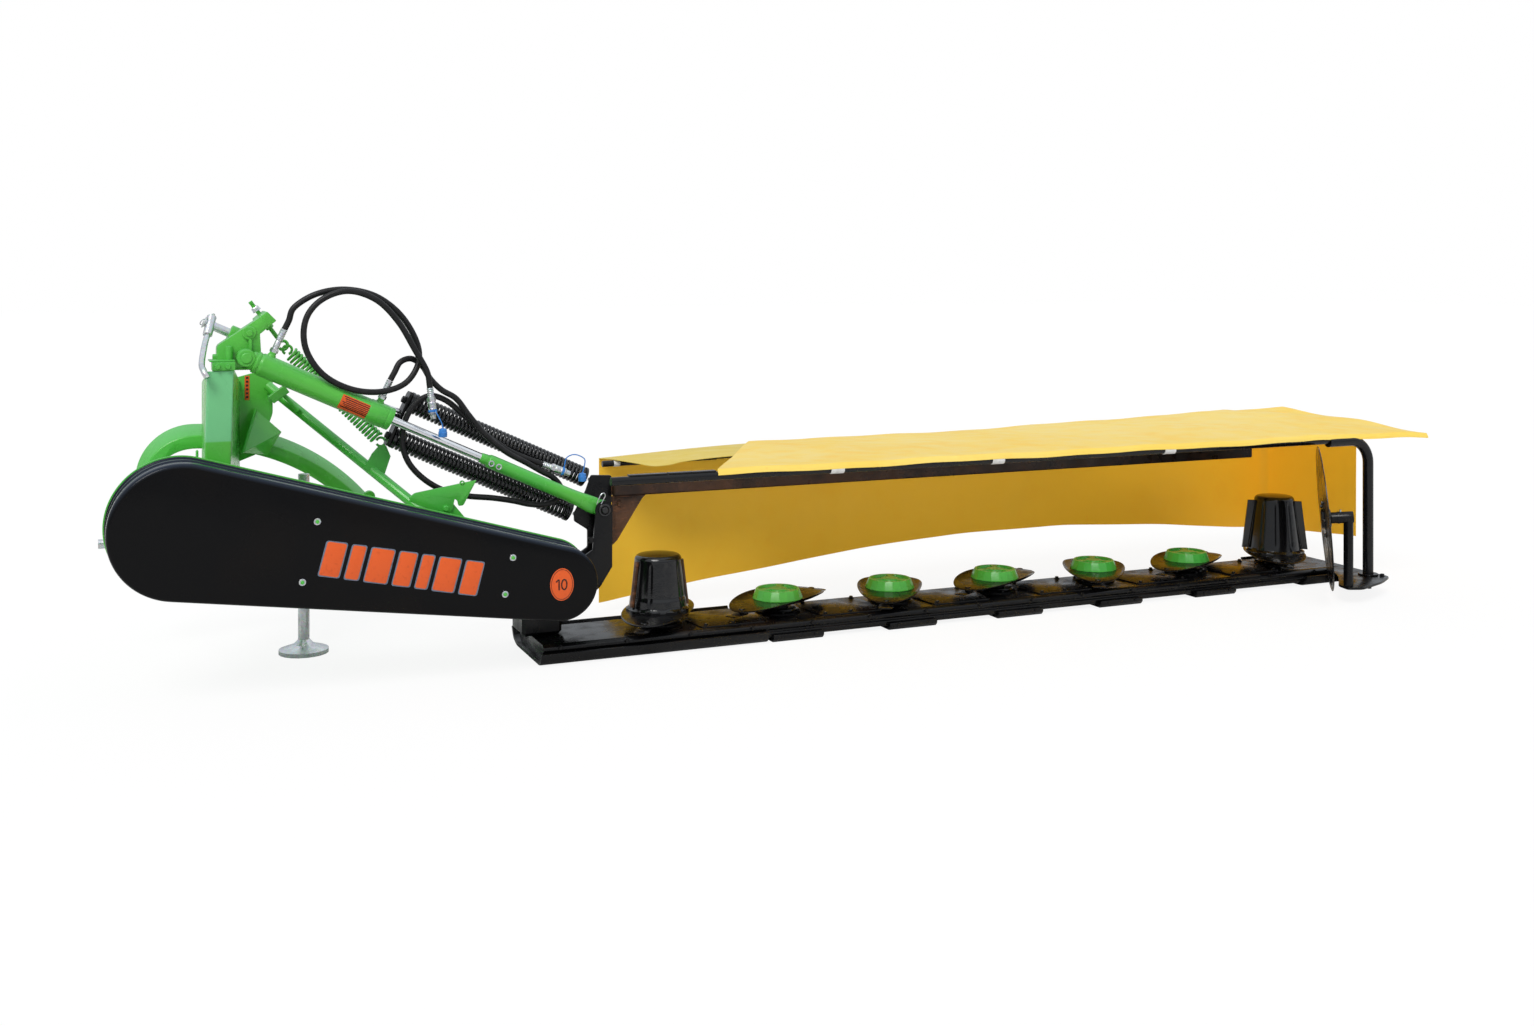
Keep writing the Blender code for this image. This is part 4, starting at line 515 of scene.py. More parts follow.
def rusty_black(name="black_paint_rusty", fade=None):
    """Black paint that rust turns copper brown in streaks, on plates and beams; it may fade out along X."""
    finish = Finish(name, (0.0075, 0.0055, 0.005), 0.34, specular=0.28)
    brown = finish.span(finish.noise(6, 4, 0.6), 0.4, 0.58, 0.25, 0.95)
    if fade:
        brown = finish.times(brown, finish.axis("X", *fade, 1.0, 0.1))
    finish.tint(brown, (0.06, 0.027, 0.013) if fade else (0.12, 0.052, 0.023))
    stretched = finish.node("Mapping", Vector=finish.where, Scale=(1.0, 1.0, 3.0)).outputs["Vector"]
    streaks = finish.noise(16, 6, 0.7, stretched)
    finish.tint(finish.span(streaks, 0.5, 0.68, 0.0, 0.1 if fade else 0.75), (0.28, 0.11, 0.046))
    finish.clouds(60, 5, 0.56, 0.7, 0.55, (0.006, 0.005, 0.005), 0.7)
    finish.grain(34, 5, 0.0014, 0.55, 0.65)
    return finish.done(20, 4, 0.68, 0.2, 0.5)


def zinc():
    """Zinc plate: spangle, dull bloom and a few darker stains."""
    finish = Finish("zinc_plate", (0.62, 0.64, 0.66), 0.3, metallic=1.0)
    finish.tint(0.12, finish.node("TexVoronoi", Vector=finish.where, Scale=190).outputs["Color"])
    finish.clouds(30, 5, 0.52, 0.72, 0.6, (0.36, 0.37, 0.38), 0.6)
    finish.grain(320, 3, 0.0002, 0.6)
    return finish.done(45, 4, 0.68, 0.22, 0.46)


def coated_cloth(name, colour, deep, pale, across, painted_backlight=None):
    """Coated yellow cloth: woven grain under the coat, stains, soft folds and a painted glow for light
    soaking through.
    """
    finish = Finish(name, colour, 0.5, specular=0.3)
    finish.clouds(2.1, 3, 0.36, 0.64, 0.5, pale)
    if painted_backlight:
        # Painted backlight: the side sheet turns a brighter orange towards its outer end.
        finish.tint(finish.axis("X", 0.5, 2.3, 0.0, 0.75), painted_backlight)
    finish.clouds(6.5, 6, 0.52, 0.78, 0.36, deep, 0.65)
    finish.clouds(48, 6, 0.64, 0.82, 0.3, tuple(0.55 * c for c in deep), 0.7)
    # Painted glow: each cloth emits a little light in its own colour, standing in for light that soaks
    # through.
    finish.put(finish.shader.inputs["Emission Color"], (1.0, 0.6, 0.035, 1) if painted_backlight else (1.0, 0.82, 0.36, 1))
    light = 0.03
    if painted_backlight:
        # On the side sheet the painted glow rises along X, with a painted bright spot low near the outer end.
        spot = finish.times(finish.axis("X", 1.7, 2.05), finish.axis("X", 2.75, 2.2))
        low = finish.times(finish.axis("Z", 0.22, 0.38), finish.axis("Z", 0.5, 0.4))
        painted_glow_along_x = finish.sum(finish.axis("X", 0.0, 1.3, 0.135, 0.175), finish.axis("X", 2.2, 2.5, 0.0, 0.06))
        light = finish.sum(painted_glow_along_x, finish.times(finish.times(spot, low), 0.08))
    finish.put(finish.shader.inputs["Emission Strength"], light)
    finish.grain(7, 4, 0.008, 0.3, 0.55)
    finish.bump(finish.sum(finish.waves("X", 0.0022, 0.4), finish.waves(across, 0.0022, 0.4)), 0.00018, 0.4)
    return finish.done(13, 4, 0.7, 0.4, 0.6)


def simple_finish(name, colour, look, clouds, grain=None, gloss=()):
    """A finish of one cloud tint, grain and uneven gloss; look is roughness, metallic and specular."""
    finish = Finish(name, colour, *look)
    finish.clouds(*clouds)
    if grain:
        finish.grain(*grain)
    return finish.done(*gloss)


# Satin black tube with scuffs, then lacquered spring wire with dry dust between its coils
RAIL = simple_finish("black_satin_tube", (0.0042, 0.0044, 0.0054), (0.26, 0, 0.34),
                     (24, 5, 0.62, 0.78, 0.25, (0.036, 0.024, 0.016), 0.6), (60, 3, 0.0005, 0.35),
                     (20, 4, 0.68, 0.16, 0.34))
SPRING = simple_finish("black_spring_wire", (0.0045, 0.0048, 0.0058), (0.22, 0, 0.6),
                       (35, 4, 0.6, 0.78, 0.25, (0.03, 0.028, 0.027), 0.6), (240, 3, 0.0003, 0.5),
                       (40, 3, 0.68, 0.16, 0.36))
# Hard chrome with faint smears, wrapped hose rubber, moulded blue plastic with handling marks
CHROME = simple_finish("chrome_ground", (0.8, 0.81, 0.83), (0.08, 1, 0.5),
                       (26, 4, 0.5, 0.75, 0.35, (0.58, 0.59, 0.6)), (40, 2, 0.00002, 0.2),
                       (12, 4, 0.7, 0.14, 0.24))
HOSE = simple_finish("black_hose_cover", (0.0075, 0.0072, 0.0078), (0.42, 0, 0.3),
                     (40, 4, 0.55, 0.72, 0.4, (0.028, 0.027, 0.027)), (700, 2, 0.00025, 0.8),
                     (30, 3, 0.68, 0.34, 0.55))
BLUE = simple_finish("blue_plastic_moulded", (0.04, 0.225, 0.66), (0.36, 0, 0.5),
                     (60, 4, 0.5, 0.75, 0.4, (0.07, 0.32, 0.74)), (500, 2, 0.0001, 0.5),
                     (90, 3, 0.68, 0.28, 0.46))
# Orange sticker film with rubbed edges, nearly black print, grey-blue edging, white sleeves with rub marks
ORANGE = simple_finish(
    "orange_film", (0.8, 0.115, 0.016), (0.4, 0, 0.4), (110, 5, 0.56, 0.72, 0.5, (0.62, 0.075, 0.012)),
    (200, 2, 0.0001, 0.4), (60, 3, 0.68, 0.32, 0.5))
PRINT = simple_finish("dark_print", (0.012, 0.01, 0.01), (0.45, 0, 0.3),
                      (220, 3, 0.5, 0.8, 0.5, (0.05, 0.03, 0.02)))
EDGING = simple_finish("grey_blue_print", (0.16, 0.2, 0.27), (0.4, 0, 0.3),
                       (120, 4, 0.5, 0.75, 0.6, (0.05, 0.07, 0.1)))
WHITE = simple_finish("white_sleeve_plastic", (0.8, 0.8, 0.78), (0.4, 0, 0.45),
                      (70, 4, 0.52, 0.72, 0.5, (0.52, 0.52, 0.5)), (300, 2, 0.0001, 0.5))
GREEN, GUARD_BLACK, WORN, ZINC, RUSTY = green_paint(), guard_black(), worn_black(), zinc(), rusty_black()
BEAM_BLACK = rusty_black("black_paint_beam", (0.6, 1.9))
# The mast's green carries a painted pale sky reflection on its near face above the fold.
MAST_GREEN = green_paint("green_paint_mast", MAST["fold"])
CONE_BLACK = worn_black("black_gloss_cone", 0.55, (0.08, 0.2))
CANOPY_CLOTH = coated_cloth("yellow_cloth_top", (0.99, 0.7, 0.12), (0.95, 0.5, 0.05), (1.0, 0.8, 0.26), "Y")
OLIVE_CLOTH = coated_cloth("yellow_cloth_flap", (0.76, 0.57, 0.08), (0.62, 0.44, 0.05), (0.84, 0.66, 0.14),
                           "Y")
# The side sheet's deeper orange is painted shade: it stands in for the bounced light under the top sheet.
CURTAIN_CLOTH = coated_cloth("yellow_cloth_side", (0.93, 0.55, 0.045), (0.74, 0.4, 0.028), (0.97, 0.6, 0.052),
                             "Z", (1.0, 0.56, 0.028))
# Slots with their finishes; the first one is for the frame's own solids
SLOTS = {"green_paint": (GREEN, MAST_GREEN), "bright_steel": (ZINC, CHROME, WHITE), "black_rubber": (HOSE,),
         "black_paint": (WORN, GUARD_BLACK, RAIL, SPRING, RUSTY, CONE_BLACK, ORANGE, PRINT, EDGING),
         "blue_plastic": (BLUE,), "yellow_cloth": (CANOPY_CLOTH, OLIVE_CLOTH, CURTAIN_CLOTH),
         "dark_iron": (WORN,)}


# Camera, light and floor

def shader_part(tree, kind, **values):
    """A new node of a kind in a node tree, with values for its sockets."""
    made = tree.nodes.new("ShaderNode" + kind)
    for socket, value in values.items():
        made.inputs[socket].default_value = value
    return made


def mixed_shader(tree, share, first, second):
    """A mix of two shaders, the second seen by a share."""
    made = shader_part(tree, "MixShader")
    for place, value in enumerate((share, first, second)):
        tree.links.new(value, made.inputs[place])
    return made.outputs["Shader"]


def make_stage():
    """The photograph's camera, soft studio light and a pale floor that keeps the mower's shadow."""
    scene = bpy.context.scene
    camera = bpy.data.objects.new("camera", bpy.data.cameras.new("camera"))
    camera.data.lens = camera.data.sensor_width = 36.0
    camera.data.shift_y = -0.1584
    camera.data.clip_end = 60.0
    camera.location = (-1.566, -4.434, 1.135)
    camera.rotation_euler = (math.radians(90), 0.0, -math.atan2(0.399, 0.917))
    scene.collection.objects.link(camera)
    scene.camera = camera
    scene.view_settings.view_transform = "Standard"

    sun = bpy.data.objects.new("soft_sun", bpy.data.lights.new("soft_sun", "SUN"))
    sun.data.energy = 1.75
    sun.data.angle = math.radians(28)
    sun.data.color = (1.0, 0.975, 0.94)
    sun.rotation_euler = (math.radians(42), 0.0, math.radians(-38))
    scene.collection.objects.link(sun)
    make_world()
    make_floor()


def make_world():
    """A cool even sky that is white to the camera, with a grey to pale slope in what shines."""
    world = bpy.data.worlds.new("studio")
    world.use_nodes = True
    bpy.context.scene.world = world
    tree = world.node_tree
    sky = tree.nodes["Background"]
    sky.inputs["Color"].default_value = (0.93, 0.96, 1.0, 1)
    sky.inputs["Strength"].default_value = 0.52
    white = shader_part(tree, "Background", Color=(1, 1, 1, 1), Strength=1.0)
    rays = shader_part(tree, "LightPath").outputs
    seen = shader_part(tree, "Math")
    seen.operation = "MAXIMUM"
    tree.links.new(rays["Is Camera Ray"], seen.inputs[0])
    tree.links.new(rays["Is Transmission Ray"], seen.inputs[1])
    split, shade, shine = (shader_part(tree, kind) for kind in ("SeparateXYZ", "ValToRGB", "Background"))
    tree.links.new(shader_part(tree, "TexCoord").outputs["Generated"], split.inputs["Vector"])
    tree.links.new(split.outputs["Z"], shade.inputs["Fac"])
    dark, pale = shade.color_ramp.elements
    dark.color, pale.color, pale.position = (0.42, 0.44, 0.47, 1), (0.9, 0.95, 1.0, 1), 0.55
    tree.links.new(shade.outputs["Color"], shine.inputs["Color"])
    lit = mixed_shader(tree, rays["Is Glossy Ray"], sky.outputs[0], shine.outputs[0])
    tree.links.new(mixed_shader(tree, seen.outputs["Value"], lit, white.outputs[0]),
                   tree.nodes["World Output"].inputs["Surface"])


def make_floor():
    """A pale floor, mostly white to the camera, so that only a soft shadow shows."""
    reach = 40.0
    mesh = bpy.data.meshes.new("floor")
    mesh.from_pydata([(-reach, -reach, 0), (reach, -reach, 0), (reach, reach, 0), (-reach, reach, 0)], [],
                     [(0, 1, 2, 3)])
    floor = bpy.data.objects.new("floor", mesh)
    bpy.context.scene.collection.objects.link(floor)
    floor.location = (0, 0, -0.0005)
    material = bpy.data.materials.new("pale_floor")
    material.use_nodes = True
    tree = material.node_tree
    matt = tree.nodes["Principled BSDF"]
    for socket, value in (("Base Color", (0.86, 0.86, 0.86, 1)), ("Roughness", 0.9),
                          ("Specular IOR Level", 0.0)):
        matt.inputs[socket].default_value = value
    glow = shader_part(tree, "Emission", Strength=1.05)
    share = shader_part(tree, "Math")
    share.operation = "MULTIPLY"
    share.inputs[1].default_value = 0.84
    tree.links.new(shader_part(tree, "LightPath").outputs["Is Camera Ray"], share.inputs[0])
    tree.links.new(mixed_shader(tree, share.outputs["Value"], matt.outputs["BSDF"], glow.outputs["Emission"]),
                   tree.nodes["Material Output"].inputs["Surface"])
    mesh.materials.append(material)


# Hoses, couplers and dust caps

def coupler_shapes(start, line):
    """A quick coupler: crimped ferrule, hexagon, knurled sleeve, strap neck and tip, along line."""
    profile = [(0.0088, 0), (0.0095, 0.001)]
    for step in range(4):
        low = 0.004 + step * 0.0052
        profile += [(0.0095, low), (0.0086, low + 0.0012), (0.0086, low + 0.0024), (0.0095, low + 0.0036)]
    profile += [(0.0095, 0.025), (0.0098, 0.0285)]
    hexagon = mm((12.2, 28), (12.5, 29.2), (12.5, 38.5), (11.9, 40))
    sleeve = [(0.0108, 0.0395), (0.0115, 0.041)]
    for step in range(3):
        low = 0.044 + step * 0.005
        sleeve += [(0.0122, low - 0.0012), (0.0122, low + 0.0022), (0.0112, low + 0.0026),
                   (0.0112, low + 0.0034)]
    sleeve += mm((12.2, 59.5), (11.8, 61.5), (9.7, 61.8), (9.7, 69.3), (12, 69.6), (12.4, 71), (12.4, 72.5),
                 (10.8, 74.5), (8.4, 76.5), (8.4, 88.5), (7.4, 90), (4.5, 90), (4.5, 84), (0, 84))
    return [lathe(profile, start, line, 28), lathe(hexagon, start, line, 6), lathe(sleeve, start, line, 32)]


def dust_cap_shapes(start, line, strap):
    """A flat ring on the coupler's neck, a thin strap from it and the open cap that hangs at its end."""
    middle = start + line * 0.0655
    first = np.asarray(strap[0]) - middle
    aside = unit(first - line * first.dot(line))
    path = smooth([middle + aside * 0.0112, middle + aside * 0.0166, *strap], 6)
    shapes = [ring(middle, line, 0.0127, 0.0101, 0.0033, 0.0006, 28)]
    shapes.append(sweep(path, oblong(0.0032, 0.0024, 0.0008), (0, 1, 0.02)))
    top = np.asarray(strap[-1], float) + (0, 0, 0.002)
    cap = mm((3, 0), (4.2, -1.5), (8.5, -2.2), (11, -4), (11.4, -6.2), (11.4, -11), (12.5, -12), (12.5, -25),
             (11.9, -26), (9.8, -26), (9.4, -24), (9.4, -10))
    shapes.append(lathe(cap, top, UP, 32))
    return shapes


def make_hoses():
    """Two hydraulic hoses along their routes, each with its coupler and strapped dust cap."""
    for word, route, strap in (("a", HOSE_A_ROUTE, STRAP_A_ROUTE), ("b", HOSE_B_ROUTE, STRAP_B_ROUTE)):
        path = smooth(route, 8)
        hose = piece("hydraulic_hose_" + word, [tube(path, HOSE_RADIUS, sides=16)], HOSE, "cylinder",
                     ["hose_" + word])
        coarse = smooth(route, 2)
        line = unit(coarse[-1] - coarse[-2])
        start = coarse[-1] + line * 0.0003
        coupler = piece("quick_coupler_" + word, coupler_shapes(start, line), ZINC, "cylinder",
                        ["coupler_" + word])
        cap = piece("strapped_cap_" + word, dust_cap_shapes(start, line, strap), BLUE, "cylinder",
                    ["dust_cap_" + word])
        if word == "b":
            for thing in (hose, coupler, cap):
                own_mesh(thing)


# Belt guard

def belt_loop(big, small):
    """The outline round both shafts: two arcs joined by their common tangents, as (x, z) points."""
    span = np.subtract(PIVOT, DRIVE)
    lean = math.atan2(span[1], span[0])
    spread = math.acos((big - small) / float(np.linalg.norm(span)))
    first = np.linspace(lean + spread, lean + 2 * PI - spread, 72)
    second = np.linspace(lean - spread, lean + spread, 44)
    around_big = np.stack([DRIVE[0] + big * np.cos(first), DRIVE[1] + big * np.sin(first)], axis=1)
    around_small = np.stack([PIVOT[0] + small * np.cos(second), PIVOT[1] + small * np.sin(second)], axis=1)
    return np.vstack([around_big, around_small])


def belt_shell(profile):
    """Rings of the belt outline, each set in by d at its own y; the first and last rings are closed."""
    rows = []
    for inset, y in profile:
        flat = belt_loop(GUARD_BIG - inset, GUARD_SMALL - inset)
        rows.append(np.stack([flat[:, 0], np.full(len(flat), y), flat[:, 1]], axis=1))
    return grid(np.stack(rows), wrap_v=True, caps=True)


def make_guard():
    """The stepped gloss black cover, its green back plate with a rim, the cover's bolts and its film."""
    outside = [(0.0, GUARD_INNER), (0.0, -0.1165), (0.0008, -0.118), (0.0042, -0.119), (0.005, -0.1205),
               (0.005, -0.162), (0.0044, -0.1645), (0.0018, -0.166), (0.0008, -0.168), (0.0008, -0.176),
               (0.0018, -0.178), (0.0044, -0.1795), (0.0052, -0.182), (0.0056, -0.206), (0.0052, -0.208),
               (0.003, -0.2095), (0.0024, -0.2115), (0.0026, -0.235), (0.0036, -0.241), (0.0062, -0.246),
               (0.01, -0.2488), (0.015, -0.25)]
    inside = [(0.02, -0.2462), (0.0078, -0.238), (0.0068, -0.2), (0.0068, GUARD_INNER)]
    piece("belt_guard", [belt_shell(inside + outside)], GUARD_BLACK, "headstock", ["guard_cover"], 50)

    rim = -0.0035
    flange = belt_shell([(rim + 0.001, -0.1057), (rim, -0.1067), (rim, -0.1107), (rim + 0.001, -0.1117)])
    holes = [ring((x, -0.105, z), FORWARD, 0.06, 0.03, 0.0012) for x, z in (DRIVE, PIVOT)]
    piece("guard_back", [flange] + holes, GREEN, "headstock", ["guard_back_plate"])
    places = mm((-1039, 471), (-1077, 314), (-514, 337), (-536, 237))
    make_guard_bolts([np.array([x, GUARD_OUTER, z]) for x, z in places])
    make_guard_film()


def make_guard_bolts(places):
    """Flat washers and low green heads on the cover."""
    washers, heads = [], []
    for place in places:
        washers.append(lathe([(0.0092, -0.003), (0.0092, 0.001), (0.0088, 0.0014)], place, REARWARD, 28))
        heads += bolt(place + (0, -0.0014, 0), REARWARD, 0.0092, 0.004, 0)
    piece("guard_washers", washers, ZINC, "headstock")
    piece("guard_bolt_heads", heads, GREEN, "headstock")


def make_guard_film():
    """Film on the cover: a row of plain leaning bars, and an oval with a dark line round a plain number."""
    start, slope = np.array([-1.024, 0.3735]), (PIVOT[1] - DRIVE[1]) / (PIVOT[0] - DRIVE[0])
    wide = (0.05, 0.034, 0.058, 0.044, 0.03, 0.056, 0.046)
    gap, half, lean = 0.0165, 0.046, 0.012
    bars, edging, at = [], [], 0.0
    for width in wide:
        corners = [(at - lean, -half), (at + width - lean, -half), (at + width + lean, half),
                   (at + lean, half)]
        flat = [(start[0] + a, start[1] + slope * a + b) for a, b in corners]
        bars.append(plate(rounded(flat, 0.006, 3), "XZ", GUARD_OUTER - 0.0011, GUARD_OUTER - 0.0004, 0.0003))
        wider = [(start[0] + a + da, start[1] + slope * a + b + db)
                 for (a, b), (da, db) in zip(corners, mm((-3.5, -3), (3.5, -3), (3.5, 3), (-3.5, 3)))]
        edging.append(plate(rounded(wider, 0.007, 3), "XZ", GUARD_OUTER - 0.0005, GUARD_OUTER + 0.001,
                            0.0002))
        at += width + gap
    piece("guard_bars", bars, ORANGE, "headstock")
    piece("guard_bar_edging", edging, EDGING, "headstock")

    centre = np.array([-0.374, 0.251])
    turn = turn_in(64)
    oval = np.stack([np.cos(turn) * 0.034, np.sin(turn) * 0.0455], axis=1)
    piece("guard_oval", [plate(centre + oval, "XZ", GUARD_OUTER - 0.0006, GUARD_OUTER + 0.001, 0.0002)],
          ORANGE, "headstock")
    face = GUARD_OUTER - 0.0006
    path = np.stack([centre[0] + oval[:, 0] * 0.9, np.full(64, face), centre[1] + oval[:, 1] * 0.92], axis=1)
    marks = [tube(path, 0.0007, FORWARD, 8, closed=True)]
    one = mm((-17.5, 7.5), (-10, 14), (-8.5, 14), (-8.5, -15))
    zero = np.stack([0.0065 + 0.0075 * np.cos(turn), -0.0005 + 0.014 * np.sin(turn)], axis=1)
    for flat, closed in ((np.array(one), False), (zero, True)):
        path = np.stack([centre[0] + flat[:, 0], np.full(len(flat), face), centre[1] + flat[:, 1]], axis=1)
        marks.append(tube(path, 0.0019, FORWARD, 8, closed=closed))
    piece("guard_oval_marks", marks, PRINT, "headstock")


# Headstock

def arch_side(inset):
    """The arch's outline, set in: right foot, long sweep to the crown, tight left shoulder, left foot."""
    left, right = ARCH["left"] + inset * 0.5, ARCH["right"] - inset * 0.5
    wide, tight = ARCH["sweep"] - inset, ARCH["shoulder"] - inset * 0.5
    crown = ARCH["left"] + ARCH["shoulder"]
    first = np.linspace(math.acos((right - crown) / wide), PI / 2, 44)
    second = np.linspace(PI / 2, PI, 26)[1:]
    sweep_part = np.stack([crown + wide * np.cos(first), ARCH["top"] - ARCH["sweep"] + wide * np.sin(first)],
                          axis=1)
    tight_part = np.stack([crown + tight * np.cos(second),
                           ARCH["top"] - inset - tight + tight * np.sin(second)], axis=1)
    return np.vstack([[(right, ARCH["foot"])], sweep_part, tight_part, [(left, ARCH["foot"])]])


def make_arch():
    """The hitch arch: a box bent over the tractor's links, its top sloped to the near side, pin bosses."""
    rear, front = ARCH["rear"], ARCH["front"]
    rows = []
    for outer, inner, y in ((0.031, 0.062, rear), (0.027, 0.064, rear + 0.0012), (0.024, 0.065, rear + 0.004),
                            (0.001, 0.068, front - 0.003), (0.0, 0.067, front - 0.001),
                            (0.002, 0.065, front)):
        flat = np.vstack([arch_side(outer), arch_side(inner)[::-1]])
        rows.append(np.insert(flat, 1, y, axis=1))
    shapes = [grid(np.stack(rows), wrap_v=True, caps=True)]
    deep = (rear + front) / 2
    for side, face in ((-1, ARCH["left"]), (1, ARCH["right"])):
        shapes.append(ring((face - side * 0.002, deep, 0.33), (1, 0, 0), 0.034, 0.0145, 0.002))
        shapes.append(ring((face - side * 0.05, deep, 0.33), (1, 0, 0), 0.034, 0.0145, 0.01))
    shapes.append(lathe([(0.017, -0.012), (0.017, 0.004), (0.015, 0.006)], (-0.797, rear, 0.432),
                        REARWARD, 28))
    piece("hitch_arch_box", shapes, GREEN, "headstock", ["hitch_arch"])


def mast_shell():
    """The mast's fold: a U section whose near side leans over and back as it climbs."""
    near, far, wall = MAST["near"], MAST["far"], MAST["wall"]
    section = rounded([(-1.2867, far), (-1.3134, near), (-1.2475, near), (-1.2215, 0.12), (-1.179, far),
                       (-1.187, far), (-1.23, 0.122), (-1.254, near + wall), (-1.306, near + wall),
                       (-1.279, far)], mm(1, 6, 5, 10, 1, 1, 10, 3, 3, 1), 5)
    x, y = section[:, 0], section[:, 1]
    share = np.array([0, 0.003, 0.15, 0.3, 0.45, 0.56, 0.575, 0.588, 0.6, 0.615, 0.75, 0.9, 0.997, 1.0])
    low = MAST["low"] + 0.1 * (y - near) / (far - near)
    high = MAST["top"] - 0.0005 - 0.0595 * np.clip((y - 0.16) / (far - 0.16), 0, 1)
    z = low + (high - low) * share[:, None]
    front = np.clip(1 - (y - near) / 0.085, 0, 1)
    above = np.clip((z - MAST["fold"]) / (MAST["top"] - MAST["fold"]), 0, 1)
    drift = np.where(x < -1.28, 0.0155, 0.0177)
    return grid(np.stack([x + drift * front * (z - MAST["low"]) / 0.46, y + 0.021 * above * front, z],
                         axis=2), wrap_v=True, caps=True)


def make_mast():
    """Bent plate mast: folded shell, cap, rear plate, gusset, weld beads, a sticker of plain marks."""
    near, far, wall, low, top = (MAST[key] for key in ("near", "far", "wall", "low", "top"))
    cap = rounded([(-1.283, near + 0.03), (-1.23, near + 0.03), (-1.227, 0.15), (-1.276, 0.15)], 0.004)
    rear = rounded(mm((-1286.7, 520), (-1286.7, 790), (-1180, 815), (-1085, 840), (-1085, 700), (-1130, 580)),
                   0.01)
    gusset = mm((-1135.5, 400, 716.5), (-1058.6, 427.5, 643.5), (-1100, 420, 576.6), (-1184.2, 250, 605.2))
    shapes = [mast_shell(), plate(cap, "XY", top - 0.01, top, 0.0015),
              plate(rear, "XZ", far - wall, far - 0.0003, 0.0012),
              block([gusset[0], gusset[1], gusset[3]], 0.008), block(gusset[1:], 0.006),
              weld_bead((-1.1365, 0.396, 0.7175), (-1.185, 0.247, 0.6065), 0.0042),
              weld_bead((-1.213, 0.06, low + 0.03), (-1.213, 0.3, low + 0.078), 0.004),
              weld_bead((-1.3, 0.4255, 0.6), (-1.3, 0.4255, 0.535), 0.004)]
    piece("mast_plates", shapes, MAST_GREEN, "headstock", ["mast"])

    sticker = plate(mm((-1166, 744), (-1152, 744), (-1152, 817), (-1166, 817)), "XZ", far - wall - 0.0011,
                    far - wall - 0.0002, 0.0003)
    piece("mast_sticker", [sticker], ORANGE, "headstock")
    marks = [slab((-1.1625, far - wall - 0.0014, z), (-1.1555, far - wall - 0.001, z + 0.006), 0.0002)
             for z in np.arange(0.75, 0.81, 0.0115)]
    piece("mast_sticker_marks", marks, PRINT, "headstock")
    make_pull_handle()


def make_pull_handle():
    """The release handle behind the barrel: a square block, a round bar and its flared end."""
    top, end = np.array([-1.072, 0.3, 0.772]), np.array([-1.024, 0.3, 0.717])
    line = unit(end - top)
    grip = mm((5.8, 0), (5.8, 60), (6.6, 64), (10, 71), (10.5, 73.5))
    shapes = [lathe(grip, top - line * 0.002, line, 24),
              beam(top - (0.03, 0, 0.02), top + (0.014, 0, 0.012), 0.026, 0.024, FORWARD, 0.003),
              beam(top - (0.03, 0, 0.02), (-1.09, 0.4205, 0.752), 0.02, 0.012, UP, 0.002)]
    piece("pull_handle", shapes, GREEN, "headstock")


def weld_bead(start, end, radius, ripple=0.0045):
    """A weld bead: a round bar of radius * (1 + 0.18 cos(2 pi s / ripple)), thinner at its ends."""
    start, end = np.asarray(start, float), np.asarray(end, float)
    length = float(np.linalg.norm(end - start))
    t = np.linspace(0, 1, max(12, int(length / ripple * 6)))
    swell = 1 + 0.18 * np.cos(2 * PI * t * length / ripple)
    swell *= np.clip(np.minimum(t, 1 - t) * length / radius + 0.25, 0.25, 1)
    side, _ = square_to(end - start)
    return tube(start + (end - start) * t[:, None], radius, side, 10, swell)


# Head of the mast

LINK_BACK = np.array([-1.225, 0.1, 0.955])
LINK_LINE = unit([-0.905, 0.0, 0.425])


def make_head():
    """The head bracket on the mast: its arm, boss, web, clamp, link sleeve, and the head pin."""
    body = mm((-1271, 860.3), (-1160, 860.3), (-1155, 905), (-1158, 960), (-1135, 985), (-1155, 1008),
              (-1168, 997), (-1271, 927))
    arm = mm((-1168, 997), (-1139, 1020), (-1114, 994), (-1158, 957))
    shapes = [plate(rounded(body, mm(4, 3, 4, 6, 4, 2, 2, 10), 3), "XZ", 0.025, 0.075, 0.002),
              plate(rounded(arm, 0.003, 3), "XZ", 0.0262, 0.15, 0.002),
              rod(LINK_BACK - LINK_LINE * 0.045, LINK_BACK + LINK_LINE * 0.01, 0.024, 0.002, 36),
              slab((-1.235, 0.073, 0.925), (-1.195, 0.1, 0.955)),
              slab((-1.189, 0.013, 0.905), (-1.181, 0.027, 0.944), 0.002),
              lathe([(0.019, 0), (0.019, 0.006), (0.0165, 0.0085)], (-1.187, 0.0252, 0.961),
                    REARWARD, 32),
              rod((-1.2405, 0.013, 0.884), (-1.2405, 0.013, 0.927), 0.0098, 0.0015),
              slab((-1.286, -0.019, 0.8606), (-1.2262, 0.0235, 0.8845), 0.003),
              slab((-1.292, -0.014, 0.885), (-1.2275, 0.06, 0.8895), 0.001)]
    shapes += bolt((-1.187, 0.017, 0.961), REARWARD, 0.0165, 0.008, 0)
    shapes += bolt((-1.271, 0.05, 0.8925), (-1, 0, 0), 0.019, 0.01, 0)
    for x in (-1.2722, -1.2455):
        shapes += bolt((x, -0.019, 0.872), REARWARD, 0.013, 0.0075, 0.0082)
    shapes.append(weld_bead((-1.268, 0.024, 0.8625), (-1.165, 0.024, 0.8625), 0.0035))
    piece("mast_head_bracket", shapes, GREEN, "headstock", ["head_bracket"])

    pin = mm((12.5, 4.5), (14.5, 3), (15, 0), (21.5, 0), (23.5, -2), (23.5, -7.4), (14.7, -7.6), (14.7, -126),
             (0, -126))
    piece("head_pin_round", [lathe(pin, HEAD + (0, -0.028, 0), REARWARD, 40)], GREEN, "headstock",
          ["head_pin"])
    make_eye_bolt()
    make_link_pin()


